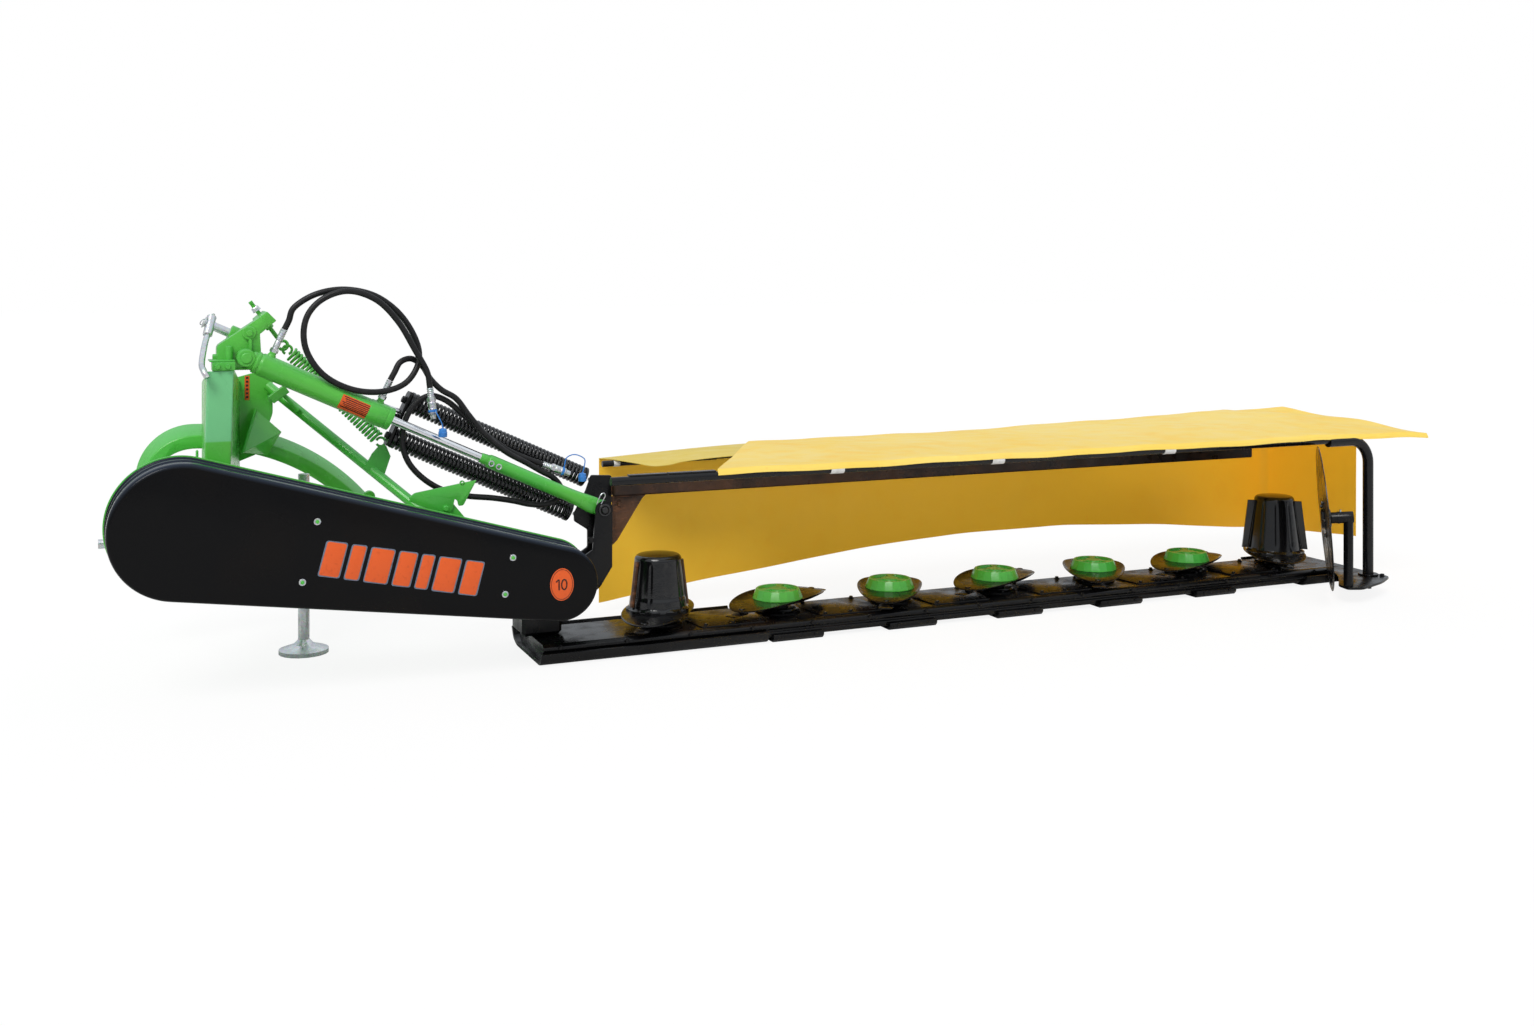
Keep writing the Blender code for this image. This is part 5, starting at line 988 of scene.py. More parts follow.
def make_eye_bolt():
    """Threaded eye bolt through the arm with its two nuts, and the tension spring that hooks into it."""
    top, end = np.array([-1.176, 0.125, 1.046]), np.array([-1.096, 0.125, 0.934])
    line = unit(end - top)
    depth = np.arange(0.003, 0.016, 0.0006)
    thread = [(0.0052, 0), (0.006, 0.001)]
    thread += [(0.006 - 0.0007 * (i % 2), float(s)) for i, s in enumerate(depth)]
    thread += [(0.006, 0.017), (0.006, 0.128)]
    angle = np.linspace(-0.5 * PI, 1.4 * PI, 40)
    flat = np.array(FORWARD)
    turn = np.cross(line, flat)
    hook = end + line * 0.004 + 0.0125 * (spokes(angle, line, turn) + line)
    green = [lathe(thread, top, line, 20), tube(hook, 0.0045, flat, 12)]
    green += bolt(top + line * 0.083, line, 0.02, 0.012, 0)
    piece("eye_bolt_threaded", green, GREEN, "headstock", ["eye_bolt"])
    nut = bolt(top + line * 0.031, -line, 0.019, 0.011, 0)
    nut.append(rod(top + line * 0.0305, top + line * 0.033, 0.0125, 0.0005))
    piece("eye_bolt_nut", nut, ZINC, "headstock")

    start, low = end + line * 0.02, np.array([-0.806, 0.125, 0.626])
    run = unit(low - start)
    body = coil(start + run * 0.03, low - run * 0.026, 0.0176, circle(0.0042, 8), 30, 22)
    shapes = [body]
    for place, sign in ((start + run * 0.03, -1), (low - run * 0.026, 1)):
        turn = np.cross(run, flat)
        angle = np.linspace(-0.6 * PI, 1.15 * PI, 30)
        loop = place + run * sign * 0.016 + 0.0125 * spokes(angle, run * sign, turn)
        shapes.append(tube(loop, 0.0037, flat, 10))
    piece("tension_spring_coil", shapes, GREEN, "headstock", ["tension_spring"])


def make_link_pin():
    """The top-link pin in plated steel: a cross sleeve at its outer end, split pins and a bent handle."""
    tip = LINK_BACK + LINK_LINE * 0.085
    shapes = [rod(LINK_BACK - LINK_LINE * 0.05, tip, 0.0122, 0.0015, 32)]
    knee = [tuple(LINK_BACK + LINK_LINE * 0.066 + (0.006, 0.01, 0.022)), tuple(LINK_BACK + LINK_LINE * 0.063),
            (-1.299, 0.055, 0.936), (-1.312, -0.012, 0.882), (-1.3085, -0.046, 0.862), (-1.3, -0.054, 0.845)]
    path = smooth(knee, 8)
    shapes.append(tube(path, 0.0082, (1, 0.2, 0), 18))
    shapes.append(rod(path[0], path[13], 0.0128, 0.001, 28))
    for place in (path[3], path[11]):
        shapes.append(tube(np.stack([place + (-0.012, -0.004, -0.002), place + (0, 0, 0.0005),
                                     place + (0.013, 0.004, 0.002)]), 0.0016, UP, 8))
    loop_angle = np.linspace(0, 2 * PI, 24, endpoint=False)
    for place, size in ((path[0], 0.0095), (tip, 0.01)):
        hoop = place + size * spokes(loop_angle, (0.35, -0.5, 0.8), (0.75, 0.6, 0.1))
        shapes.append(tube(hoop, 0.0014, (0.5, 0.2, -0.4), 8, closed=True))
    shapes.append(ring(tip - LINK_LINE * 0.003, LINK_LINE, 0.0165, 0.0122, 0.0016))
    piece("link_pin_plated", shapes, ZINC, "link_pin", ["top_link_pin"])


# Lift cylinder and balance springs

def make_cylinder():
    """Barrel with its eye, collar and gland; port fittings; chrome rod; then rod tube and label."""
    barrel = mm((24, 14), (27, 16.5), (27, 21.5), (26.2, 22.5), (26.2, 25), (30, 26.8), (30.8, 28.5),
                (30.8, 33.5), (30, 35.2), (29, 37), (30, 40), (31.8, 43), (32, 46), (32, 360), (32.8, 362.5),
                (33.6, 364), (33.6, 413), (33, 415), (31.8, 415.5), (31.8, 418), (32.6, 419), (32.6, 432),
                (31.6, 434), (24, 434.5), (13.2, 434.5), (13.2, 37))
    eye = mm((15, -19.6), (15.6, -20), (23.8, -20), (24.8, -19), (24.8, 24), (24, 24.7), (15.6, 24.7),
             (15, 24))
    port = mm((12, 20), (12, 34), (10.5, 36.5), (9.5, 37), (9.5, 44))
    shapes = [lathe(barrel, HEAD, DOWN, 56), lathe(eye, HEAD, FORWARD, 44, ring=True)]
    shapes += [lathe(port, along(at), ABOVE, 28) for at in (0.06, 0.385)]
    piece("lift_barrel", shapes, GREEN, "cylinder", ["cylinder_barrel"])

    fittings = []
    for at, end in ((0.06, 0.112), (0.385, 0.0997)):
        foot = along(at)
        first = end - 0.034
        profile = [(0.008, 0.054), (0.0086, 0.056), (0.0086, first - 0.003), (0.008, first - 0.001)]
        for i in range(4):
            low = first + 0.002 + i * 0.0068
            profile += [(0.0095, low), (0.0095, low + 0.0036), (0.0087, low + 0.0046), (0.0087, low + 0.0058)]
        profile += [(0.0095, end - 0.003), (0.0095, end - 0.0012), (0.0086, end - 0.0004)]
        fittings.append(lathe(profile, foot, ABOVE, 28))
        fittings.append(lathe(mm((11.2, 42.5), (11.8, 44), (11.8, 52.5), (11.2, 54)), foot, ABOVE, 6))
    piece("port_fittings", fittings, ZINC, "cylinder")

    piece("chrome_rod", [lathe([(0.0125, 0.32), (0.0125, 0.827)], HEAD, DOWN, 48)], CHROME,
          "rod", ["cylinder_rod"])
    make_rod_tube()
    make_barrel_label()


def make_rod_tube():
    """Rod tube: a tapered collar, a rounded shoulder, then a section that widens to the eye's flanks."""
    s = np.array(mm(717, 717.3, 718.5, 740, 741.2, 742.4, 745, 750, 756, 800, 900, 990, 1010, 1030, 1050,
                    1070, 1085, 1095, 1104))
    a = np.array(mm(12.8, 13.8, 14.2, 16.5, 16, 17.5, 19, 19.8, 20, 20, 20, 20, 20.2, 20.8, 21.8, 23.2, 24.4,
                    25, 23.5))
    b = np.array(mm(12.8, 13.8, 14.2, 16.5, 16, 17.5, 19, 19.8, 20, 20, 20, 19.8, 19.4, 18.6, 17.5, 16.3,
                    15.5, 15.1, 14.6))
    angle = turn_in(48)
    square = 1 + 0.1 * hump((s - 1.0) / 0.08)[:, None] * np.abs(np.sin(2 * angle))[None, :]
    points = (HEAD + DOWN * s[:, None, None] + ABOVE * (a[:, None] * square * np.cos(angle))[:, :, None]
              + np.array(FORWARD) * (b[:, None] * square * np.sin(angle))[:, :, None])
    eye = ring(EYE, FORWARD, 0.0262, 0.0118, 0.015, 0.0015, 44)
    piece("rod_tube_eye", [grid(points, wrap_v=True, caps=True), eye], GREEN, "rod", ["rod_tube"])
    rims, sockets = [], []
    for at in (0.751, 0.7755):
        centre = along(at, -0.004, -0.019)
        rims.append(lathe(mm((5.2, 0), (8.8, -4), (9.2, 1.2), (8.6, 2), (6, 2), (5.2, 1.2)), centre, REARWARD,
                          32, ring=True))
        sockets.append(lathe(mm((5.6, -4), (5.6, 0.4), (3, 0.4), (3, -1)), centre, REARWARD, 24))
    piece("rod_set_screws", rims, ZINC, "rod")
    piece("rod_set_screw_sockets", sockets, WORN, "rod")


def make_barrel_label():
    """A bare orange label that hugs the barrel's near side, with generic dark bars."""
    def patch(low, high, first, last, radius):
        """A thin shell between two angles, swept along the barrel."""
        theta = np.radians(np.linspace(first, last, 14))
        outer = np.stack([np.sin(theta), np.cos(theta)], axis=1) * radius
        inner = outer[::-1] * (0.03185 / radius)
        section = np.vstack([outer, inner])
        rows = [along(s) + section[:, :1] * ABOVE - section[:, 1:] * np.array(FORWARD) for s in (low, high)]
        return grid(np.stack(rows), wrap_v=True, caps=True)
    piece("barrel_label", [patch(0.278, 0.386, -58, 26, 0.03225)], ORANGE, "cylinder")
    bars = []
    for row, (first, last) in enumerate(((16, 20), (6, 11), (-3, 1), (-12, -8), (-21, -17), (-30, -26),
                                         (-40, -34))):
        short = 0.008 * (row % 3)
        bars.append(patch(0.284 + short * 0.5, 0.38 - short, first, last, 0.0324))
    piece("barrel_label_bars", bars, PRINT, "cylinder")


def make_springs():
    """Two long black coil springs beyond the cylinder, their yoke with bolts, and the tie rod."""
    lines = {"upper": (0.066, 0.9605, 0.2785, 0.43), "lower": (-0.046, 0.999, 0.0434, 0.63)}
    wire = oblong(0.0092, 0.0084, 0.0036, 3)
    beyond, head_end, foot_end = 0.072, 0.4795, 1.054
    for word, (offset, share_down, share_above, keep) in lines.items():
        first, last = along(head_end, offset, beyond), along(foot_end, offset, beyond)
        shapes = [coil(first, last, 0.0256, wire, 47, 20)]
        for at in (head_end - 0.005, foot_end - 0.002):
            shapes.append(lathe([(0.0298, 0), (0.03, 0.001), (0.03, 0.006)],
                                along(at, offset, beyond), DOWN, 32))
        made = piece("coil_spring_" + word, shapes, SPRING, "cylinder", ["balance_spring_" + word])
        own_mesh(made)

    yoke = mm((-66, 51.5), (-74, 60), (-74, 101), (-66, 108.5), (86, 108.5), (94, 101), (94, 60), (86, 51.5))
    shapes = [block([along(0.464, v, y) for v, y in yoke], 0.0098, 0.001)]
    for offset in (0.066, 0.01, -0.046):
        shapes += bolt(along(0.4638, offset, 0.08), -DOWN, 0.017, 0.009, 0.012)
    piece("spring_yoke_plate", shapes, WORN, "cylinder", ["spring_yoke"])

    foot, head = HEAD + (0, 0.0831, 0), along(0.463, 0.03, 0.0831)
    shapes = [ring(foot, FORWARD, 0.0212, 0.015, 0.0077, 0.0012, 40),
              rod(foot + DOWN * 0.017, head, 0.007, 0.001)]
    piece("tie_rod_chrome", shapes, CHROME, "cylinder", ["tie_rod"])


# Cutter bar, shoes and rotors

def rotor_x(index):
    """The x of a rotor's axis."""
    return index * PITCH


def make_bar():
    """Cutter bar: a section with a lip at its rear edge, rotor seats, cover plates, skids and bolts."""
    rear, front, low, top = BAR["rear"], BAR["front"], BAR["low"], BAR["top"]
    corners = [(rear + 0.004, low), (rear + 0.001, low + 0.006), (rear + 0.001, low + 0.016),
               (rear + 0.006, low + 0.019), (rear + 0.006, low + 0.024), (rear, low + 0.027),
               (rear, top - 0.008), (rear + 0.01, top), (front - 0.03, top), (front - 0.004, top - 0.016),
               (front, top - 0.022), (front, low + 0.014), (front - 0.022, low)]
    section = rounded(corners, mm(3, 3, 2, 1.5, 1.5, 3, 5, 5, 10, 8, 4, 6, 6), 3)
    shapes = [plate(section, "YZ", BAR["start"], BAR["end"], 0.0015)]
    for i in range(ROTORS):
        seat = [(0.072, top - 0.004), (0.072, top + 0.004), (0.0705, top + 0.0052), (0.062, top + 0.0055),
                (0.06, top + 0.007), (0.058, SEAT_TOP - 0.001), (0.0565, SEAT_TOP), (0.036, SEAT_TOP)]
        shapes.append(lathe(seat, (rotor_x(i), 0, 0), UP, 48))
        for step in range(6):
            angle = math.radians(60 * step + 22)
            place = (rotor_x(i) + 0.0655 * math.cos(angle), 0.0655 * math.sin(angle), top + 0.005)
            shapes += bolt(place, UP, 0.0085, 0.005, 0)
    for i in range(ROTORS - 1):
        x = rotor_x(i) + PITCH / 2
        lid = rounded([(x - 0.105, rear + 0.02), (x + 0.105, rear + 0.02), (x + 0.118, -0.02),
                       (x + 0.105, 0.075), (x - 0.105, 0.075), (x - 0.118, -0.02)], 0.014)
        shapes.append(plate(lid, "XY", top - 0.002, top + 0.0042, 0.0012))
        for dx, y in ((-0.088, rear + 0.034), (0.088, rear + 0.034), (-0.088, 0.058), (0.088, 0.058),
                      (0, rear + 0.034)):
            shapes += bolt((x + dx, y, top + 0.004), UP, 0.0105, 0.0055, 0.009)
    for x in np.arange(BAR["start"] + 0.05, BAR["end"] - 0.02, 0.2):
        shapes += bolt((x, rear + 0.001, 0.0485), REARWARD, 0.01, 0.0055, 0.0075)
    make_skids(shapes)
    piece("cutter_bar_body", shapes, WORN, "mower", ["cutter_bar"])


def make_skids(shapes):
    """Adds the skids under the inner rotors: thin runners, turned up at the nose and the heel."""
    rear, front = BAR["rear"], BAR["front"]
    side = rounded([(rear - 0.014, 0.0235), (rear - 0.014, 0.01), (rear - 0.004, 0.0), (front - 0.004, 0.0),
                    (front + 0.01, 0.011), (front + 0.01, 0.022), (front + 0.001, 0.022),
                    (front - 0.008, 0.0122), (rear + 0.004, 0.0122), (rear - 0.006, 0.0235)], 0.003, 3)
    for i in range(1, ROTORS - 1):
        shapes.append(plate(side, "YZ", rotor_x(i) - 0.085, rotor_x(i) + 0.085, 0.0015))
        for dx in (-0.055, 0.055):
            shapes += bolt((rotor_x(i) + dx, rear - 0.013, 0.017), REARWARD, 0.0085, 0.004, 0)


def make_shoes():
    """Inner and outer shoes with turned-up noses, and the tail plate with its web."""
    heel, nose = BAR["rear"] - 0.02, BAR["front"] + 0.062
    sole = rounded([(heel, 0.036), (heel + 0.014, 0.006), (heel + 0.03, 0.0), (nose - 0.06, 0.0),
                    (nose - 0.022, 0.013), (nose, 0.046), (nose - 0.01, 0.049), (nose - 0.032, 0.022),
                    (nose - 0.064, 0.012), (heel + 0.034, 0.012), (heel + 0.024, 0.014),
                    (heel + 0.008, 0.038)], mm(3, 8, 12, 20, 12, 3, 3, 12, 20, 10, 6, 3), 4)
    piece("inner_sole", [plate(sole, "YZ", -0.41, 0.3, 0.0015)], WORN, "mower", ["inner_shoe"])
    post = SWATH_CENTRE + SWATH_OUT * 0.076
    right, rear = HOOP_X + 0.05, -0.36
    outline = [(right, -0.151), (right, rear), (right - 0.095, rear - 0.06),
               (post[0] + 0.025, post[1] - 0.042), (post[0] - 0.024, post[1] - 0.022),
               (post[0] - 0.012, post[1] + 0.033), (post[0] + 0.085, post[1] + 0.133),
               (right - 0.075, -0.151)]
    tail = plate(rounded(outline, mm(4, 20, 30, 15, 12, 15, 40, 4), 5), "XY", 0.05, 0.058, 0.0012)
    web = slab((HOOP_X - 0.006, rear + 0.04, 0.01), (HOOP_X + 0.006, -0.151, 0.054), 0.001)
    shapes = [plate(sole, "YZ", 2.4, 2.69, 0.0015), tail, web]
    shapes.append(ring((HOOP_X, RAIL_Y, 0.061), UP, 0.034, 0.0186, 0.003, 0.001, 40))
    for dx, dy in ((-0.035, -0.035), (0.03, -0.036)):
        shapes += bolt((HOOP_X + dx, RAIL_Y + dy, 0.058), UP, 0.013, 0.006, 0.009)
    piece("outer_sole", shapes, WORN, "mower", ["outer_shoe"])


DISC_LONG, DISC_SHORT, DISC_THICK, DISC_DROOP = 0.215, 0.105, 0.004, 0.006


def disc_surface(u, w, rise):
    """A disc's sheet: rise k^2 w^2 - droop k u^2, with k from 0 at 0.8 of its reach to 1 at its rim."""
    k = np.maximum(0, np.hypot(u, w) - 0.8) / 0.2
    return rise * k ** 2 * w * w - DISC_DROOP * k * u * u


def make_rotors():
    """Seven oval discs with two knives each, cones on the first and the last, caps on the rest."""
    for i in range(ROTORS):
        end = i in (0, ROTORS - 1)
        rise = 0.0 if end else 0.012
        radius = np.array([0, 0.25, 0.42, 0.6, 0.72, 0.8, 0.85, 0.9, 0.95, 0.985, 1.0, 1.0, 0.985, 0.95, 0.9,
                           0.85, 0.8, 0.6, 0.3, 0])
        under = np.array([0] * 10 + [0.35, 0.65] + [1.0] * 8)
        angle = turn_in(72)
        u, w = radius[:, None] * np.cos(angle), radius[:, None] * np.sin(angle)
        z = disc_surface(u, w, rise) - under[:, None] * DISC_THICK
        shapes = [grid(np.stack([u * DISC_LONG, w * DISC_SHORT, z], axis=2), wrap_v=True)]
        hub = mm((34, -27.7), (34, -12), (40, -6), (46, -3.5))
        shapes.append(lathe(hub, (0, 0, 0), UP, 40))
        for side in (-1, 1):
            shapes += make_knife(side)
        for step in range(4 if end else 0):
            spot = math.radians(45 + 90 * step)
            shapes += bolt((0.098 * math.cos(spot), 0.08 * math.sin(spot), 0.0), UP, 0.011, 0.005, 0)
        phase = 31.0 if i % 2 else 59.0
        centre = np.array([rotor_x(i), 0, DISC_TOP])
        placed = [moved(turned(shape, phase), centre) for shape in shapes]
        body = "rotor_" + str(i + 1)
        piece("oval_disc_" + str(i + 1), placed, WORN, body, ["disc_" + str(i + 1)])
        if end:
            make_cone(i, centre + (0, 0, 0.0003), body)
        else:
            make_cap(i, centre + (0, 0, 0.0003), body)


def make_knife(side):
    """One knife under a disc's end: a flat blade with two ground edges, on its bolt."""
    bolt_at, reach = side * 0.19, side * 0.2498
    top = -DISC_DROOP - DISC_THICK - 0.004
    x = np.linspace(side * 0.176, reach, 9)
    width = 0.023 * np.array([0.62, 0.93, 1, 1, 1, 1, 1, 0.98, 0.86])
    edge = np.array([-1.0, -0.72, 0.72, 1.0, 0.72, -0.72])
    thick = np.array([0.5, 0.02, 0.02, 0.5, 0.98, 0.98])
    points = np.zeros((9, 6, 3))
    points[:, :, 0] = x[:, None]
    points[:, :, 1] = width[:, None] * edge
    points[:, :, 2] = top - thick * 0.004
    head = lathe([(0.0085, 0.0035), (0.011, 0.0015), (0.0125, -0.0015)],
                 (bolt_at, 0, -DISC_DROOP * 0.6), UP, 28)
    nut = lathe([(0.0105, 0), (0.0105, -0.007), (0.009, -0.009)], (bolt_at, 0, top + 0.002), UP, 6)
    shank = rod((bolt_at, 0, top - 0.002), (bolt_at, 0, -0.006), 0.0075)
    return [grid(points, wrap_v=True, caps=True), head, nut, shank]


def make_cap(index, base, body):
    """A green cap: an eighteen-sided sloped wall, a crisp rim, and three kidney recesses round a boss."""
    inside = np.linspace(0.0655, 0.026, 26)
    radius = np.concatenate([[0.0, 0.08, 0.08, 0.0792, 0.07, 0.0688, 0.0672], inside,
                             [0.0245, 0.0238, 0.0225, 0.012, 0.0]])
    height = np.concatenate([[0.0, 0.0, 0.0022, 0.003, 0.0272, 0.0293, 0.03], np.full(26, 0.03),
                             [0.03, 0.03, 0.03, 0.03, 0.03]])
    angle = turn_in(144)
    facet = np.cos(PI / 18) / np.cos((angle + PI / 18) % (PI / 9) - PI / 18)
    share = hump((radius - 0.0665) / 0.002)[:, None]
    spread = radius[:, None] * (1 + share * (facet - 1))
    band = hump((radius - 0.027) / 0.0035) * hump((0.061 - radius) / 0.0035)
    third = np.abs((angle * 3 / (2 * PI) + 0.5) % 1 - 0.5) * 2
    kidney = band[:, None] * hump((0.8 - third) / 0.09)[None, :]
    z = height[:, None] - 0.008 * kidney
    points = np.stack([spread * np.cos(angle), spread * np.sin(angle), z + 0 * angle], axis=2) + base
    piece("green_cap_" + str(index + 1), [grid(points, wrap_v=True)], GREEN, body, ["cap_" + str(index + 1)],
          18)


def make_cone(index, base, body):
    """A crop cone: skirt, creased wall, rounded shoulder, domed top, two upright fins on weld beads."""
    inner = index == 0
    foot, head, tall = (0.0865, 0.072, 0.172) if inner else (0.094, 0.071, 0.21)
    share = np.linspace(0, 1, 30)
    wall = foot + (head - foot) * share + (0.0022 * hump((0.2 - share) / 0.02) if inner else 0)
    turn = np.linspace(0, PI / 2, 12)[1:]
    bend = 0.016
    radius = np.concatenate([
        [0, foot + 0.0085, foot + 0.0085, foot + 0.004], wall, head - bend * (1 - np.cos(turn)),
        np.array([0.8, 0.6, 0.4, 0.2, 0]) * (head - bend)])
    shoulder = tall - 0.0045 - bend + bend * np.sin(turn)
    height = np.concatenate([[0, 0, 0.006, 0.01], 0.013 + (tall - 0.0045 - bend - 0.013) * share, shoulder,
                             tall - 0.0045 + np.array([0.0018, 0.003, 0.0038, 0.0042, 0.0044])])
    angle = turn_in(180)
    on_wall = hump((height - 0.02) / 0.02) * hump((tall - 0.02 - height) / 0.02)
    crease = np.clip(1 - np.abs((angle * 10 / (2 * PI)) % 1 - 0.5) / 0.16, 0, 1)
    scallop = hump((0.012 - height) / 0.004)[:, None] * 0.03 * np.cos(angle * 9)
    spread = radius[:, None] * (1 - 0.018 * on_wall[:, None] * crease + scallop)
    points = np.stack([spread * np.cos(angle), spread * np.sin(angle), height[:, None] + 0 * angle],
                      axis=2) + base
    shapes, fins = [grid(points, wrap_v=True)], []
    for turn in (190.0, 344.0) if inner else (150.0, 316.0):
        a = math.radians(turn)
        out, flat = np.array([math.cos(a), math.sin(a), 0.0]), np.array([-math.sin(a), math.cos(a), 0.0])
        reach_low, reach_high = (0.094, 0.0775) if inner else (0.116, 0.095)
        corners = [base + out * r + (0, 0, h) + flat * 0.0075
                   for r, h in ((foot * 0.8, 0.014), (reach_low, 0.014), (reach_high, tall - 0.022),
                                (head * 0.8, tall - 0.022))]
        fins.append(block(corners, 0.015 if inner else 0.012, 0.001))
        for side in (-1, 1):
            low = base + out * (foot - 0.001) + flat * side * 0.012 + (0, 0, 0.02)
            high = base + out * (head - 0.003) + flat * side * 0.012 + (0, 0, tall - 0.03)
            shapes.append(weld_bead(low, high, 0.003, 0.006))
    name = "inner" if inner else "outer"
    piece("crop_cone_" + name, shapes, CONE_BLACK, body, [name + "_cone"], 40)
    piece("crop_cone_fins_" + name, fins, RUSTY if inner else CONE_BLACK, body)


# Cover: rails, hoop and cloth

def canopy_z(x, y):
    """The underside of the straight canopy, from the rear rail to the front rail that climbs outwards."""
    share = (y - RAIL_Y) / (CLOTH["far"] - RAIL_Y)
    climb = (x - CLOTH["start"]) / (CLOTH["end"] - CLOTH["start"])
    near = RAIL_TOP + 0.0005
    return near + (CLOTH["far_start"] + (CLOTH["far_end"] - CLOTH["far_start"]) * climb - near) * share


def canopy_swell(x, y):
    """How far the cloth stands above its rails: most at its far edge near the inner end, fading outwards."""
    share = np.clip((y - RAIL_Y) / (CLOTH["far"] - RAIL_Y), 0, 1)
    return 0.019 * share * np.exp(-((x - 0.46) / 0.52) ** 2)


def make_hinge():
    """The fold hinge: near and far ears on a block, spring studs, brown gusset plates, pin head and clip."""
    turn = np.radians(np.linspace(-20, 200, 24))
    top = [(EYE[0] + 0.027 * math.cos(a), EYE[2] + 0.027 * math.sin(a)) for a in turn]
    near = mm((-305.7, 130), (-264.7, 130), (-192.6, 189), (-156, 245.5), (-155.5, 405)) + top
    near += mm((-208.5, 405), (-216.5, 300), (-264.7, 270), (-305.7, 270))
    far = rounded(mm((-305, 132), (-265, 132), (-155, 300), (-142, 400), (-142, 512), (-205, 516),
                     (-222, 470), (-258, 405), (-258, 380), (-216.5, 352), (-216.5, 300), (-265, 270),
                     (-305, 268)), 0.005)
    shapes = [slab((-0.3097, -0.03, 0.125), (-0.2597, 0.06, 0.285), 0.004),
              plate(near, "XZ", -0.032, -0.022, 0.0015), plate(far, "XZ", 0.022, 0.032, 0.0012)]
    head = [rod(EYE - (0, 0.0415, 0), EYE - (0, 0.0235, 0), 0.01, 0.0015, 28),
            ring(EYE - (0, 0.0345, 0), FORWARD, 0.019, 0.012, 0.003, 0.0012, 32)]
    piece("fold_pin_head", head, SPRING, "mower")
    for offset in (0.066, -0.046):
        shapes.append(rod(along(1.081, offset, 0.026), along(1.081, offset, 0.086), 0.0066, 0.001, 20))
    shapes += bolt((-0.224, -0.0325, 0.33), REARWARD, 0.014, 0.006, 0.01)
    piece("fold_hinge_plates", shapes, WORN, "mower", ["hinge_bracket"])

    gusset = rounded(mm((-139.5, 300), (-124, 314), (-44, 437.3), (-30, 449.7), (-139.5, 449.7)), 0.004)
    inset = rounded(mm((-132, 326), (-56, 436), (-60, 443), (-132, 443)), 0.004)
    brown = [slab((-0.1503, 0.0225, 0.43), (-0.1403, 0.07, 0.505), 0.0015),
             plate(gusset, "XZ", 0.02, 0.028, 0.001), plate(inset, "XZ", 0.0188, 0.0205, 0.0006)]
    brown += bolt((-0.118, 0.019, 0.425), REARWARD, 0.015, 0.008, 0.01)
    brown += bolt((-0.01, 0.019, 0.478), REARWARD, 0.014, 0.007, 0.006)
    piece("fold_hinge_gusset", brown, RUSTY, "mower")
    clip = smooth(mm((-206, -34.5, 436), (-200, -36.5, 452), (-193, -37, 465), (-184, -37, 468),
                     (-180, -37, 460), (-185, -36.5, 450), (-192, -35, 436)), 6)
    piece("hinge_clip", [tube(clip, 0.0016, sides=10)], ZINC, "mower")


def make_hook():
    """The transport hook: a flat plate with a notch, a horn, an eye ring and its pivot bolt."""
    outline = rounded(mm((-762, 480), (-700, 452), (-672, 440), (-650, 440), (-640, 452), (-634, 480),
                         (-626, 474), (-623, 459), (-609, 460), (-591, 494), (-571, 530.5), (-669, 515),
                         (-748, 503), (-762, 491)), mm(3, 6, 6, 4, 4, 3, 3, 4, 5, 6, 2, 10, 6, 3))
    shapes = [plate(outline, "XZ", -0.0537, -0.0457, 0.001),
              ring((-0.612, -0.0497, 0.524), FORWARD, 0.0072, 0.0036, 0.004),
              rod((-0.66, -0.056, 0.455), (-0.66, -0.03, 0.455), 0.0078, 0.001, 24)]
    shapes += bolt((-0.66, -0.0555, 0.455), REARWARD, 0.014, 0.006, 0)
    shapes.append(tube(smooth(mm((-648, -52, 440), (-640, -55, 424), (-630, -56, 414)), 5), 0.003))
    piece("transport_hook_plate", shapes, GREEN, "hook", ["transport_hook"])


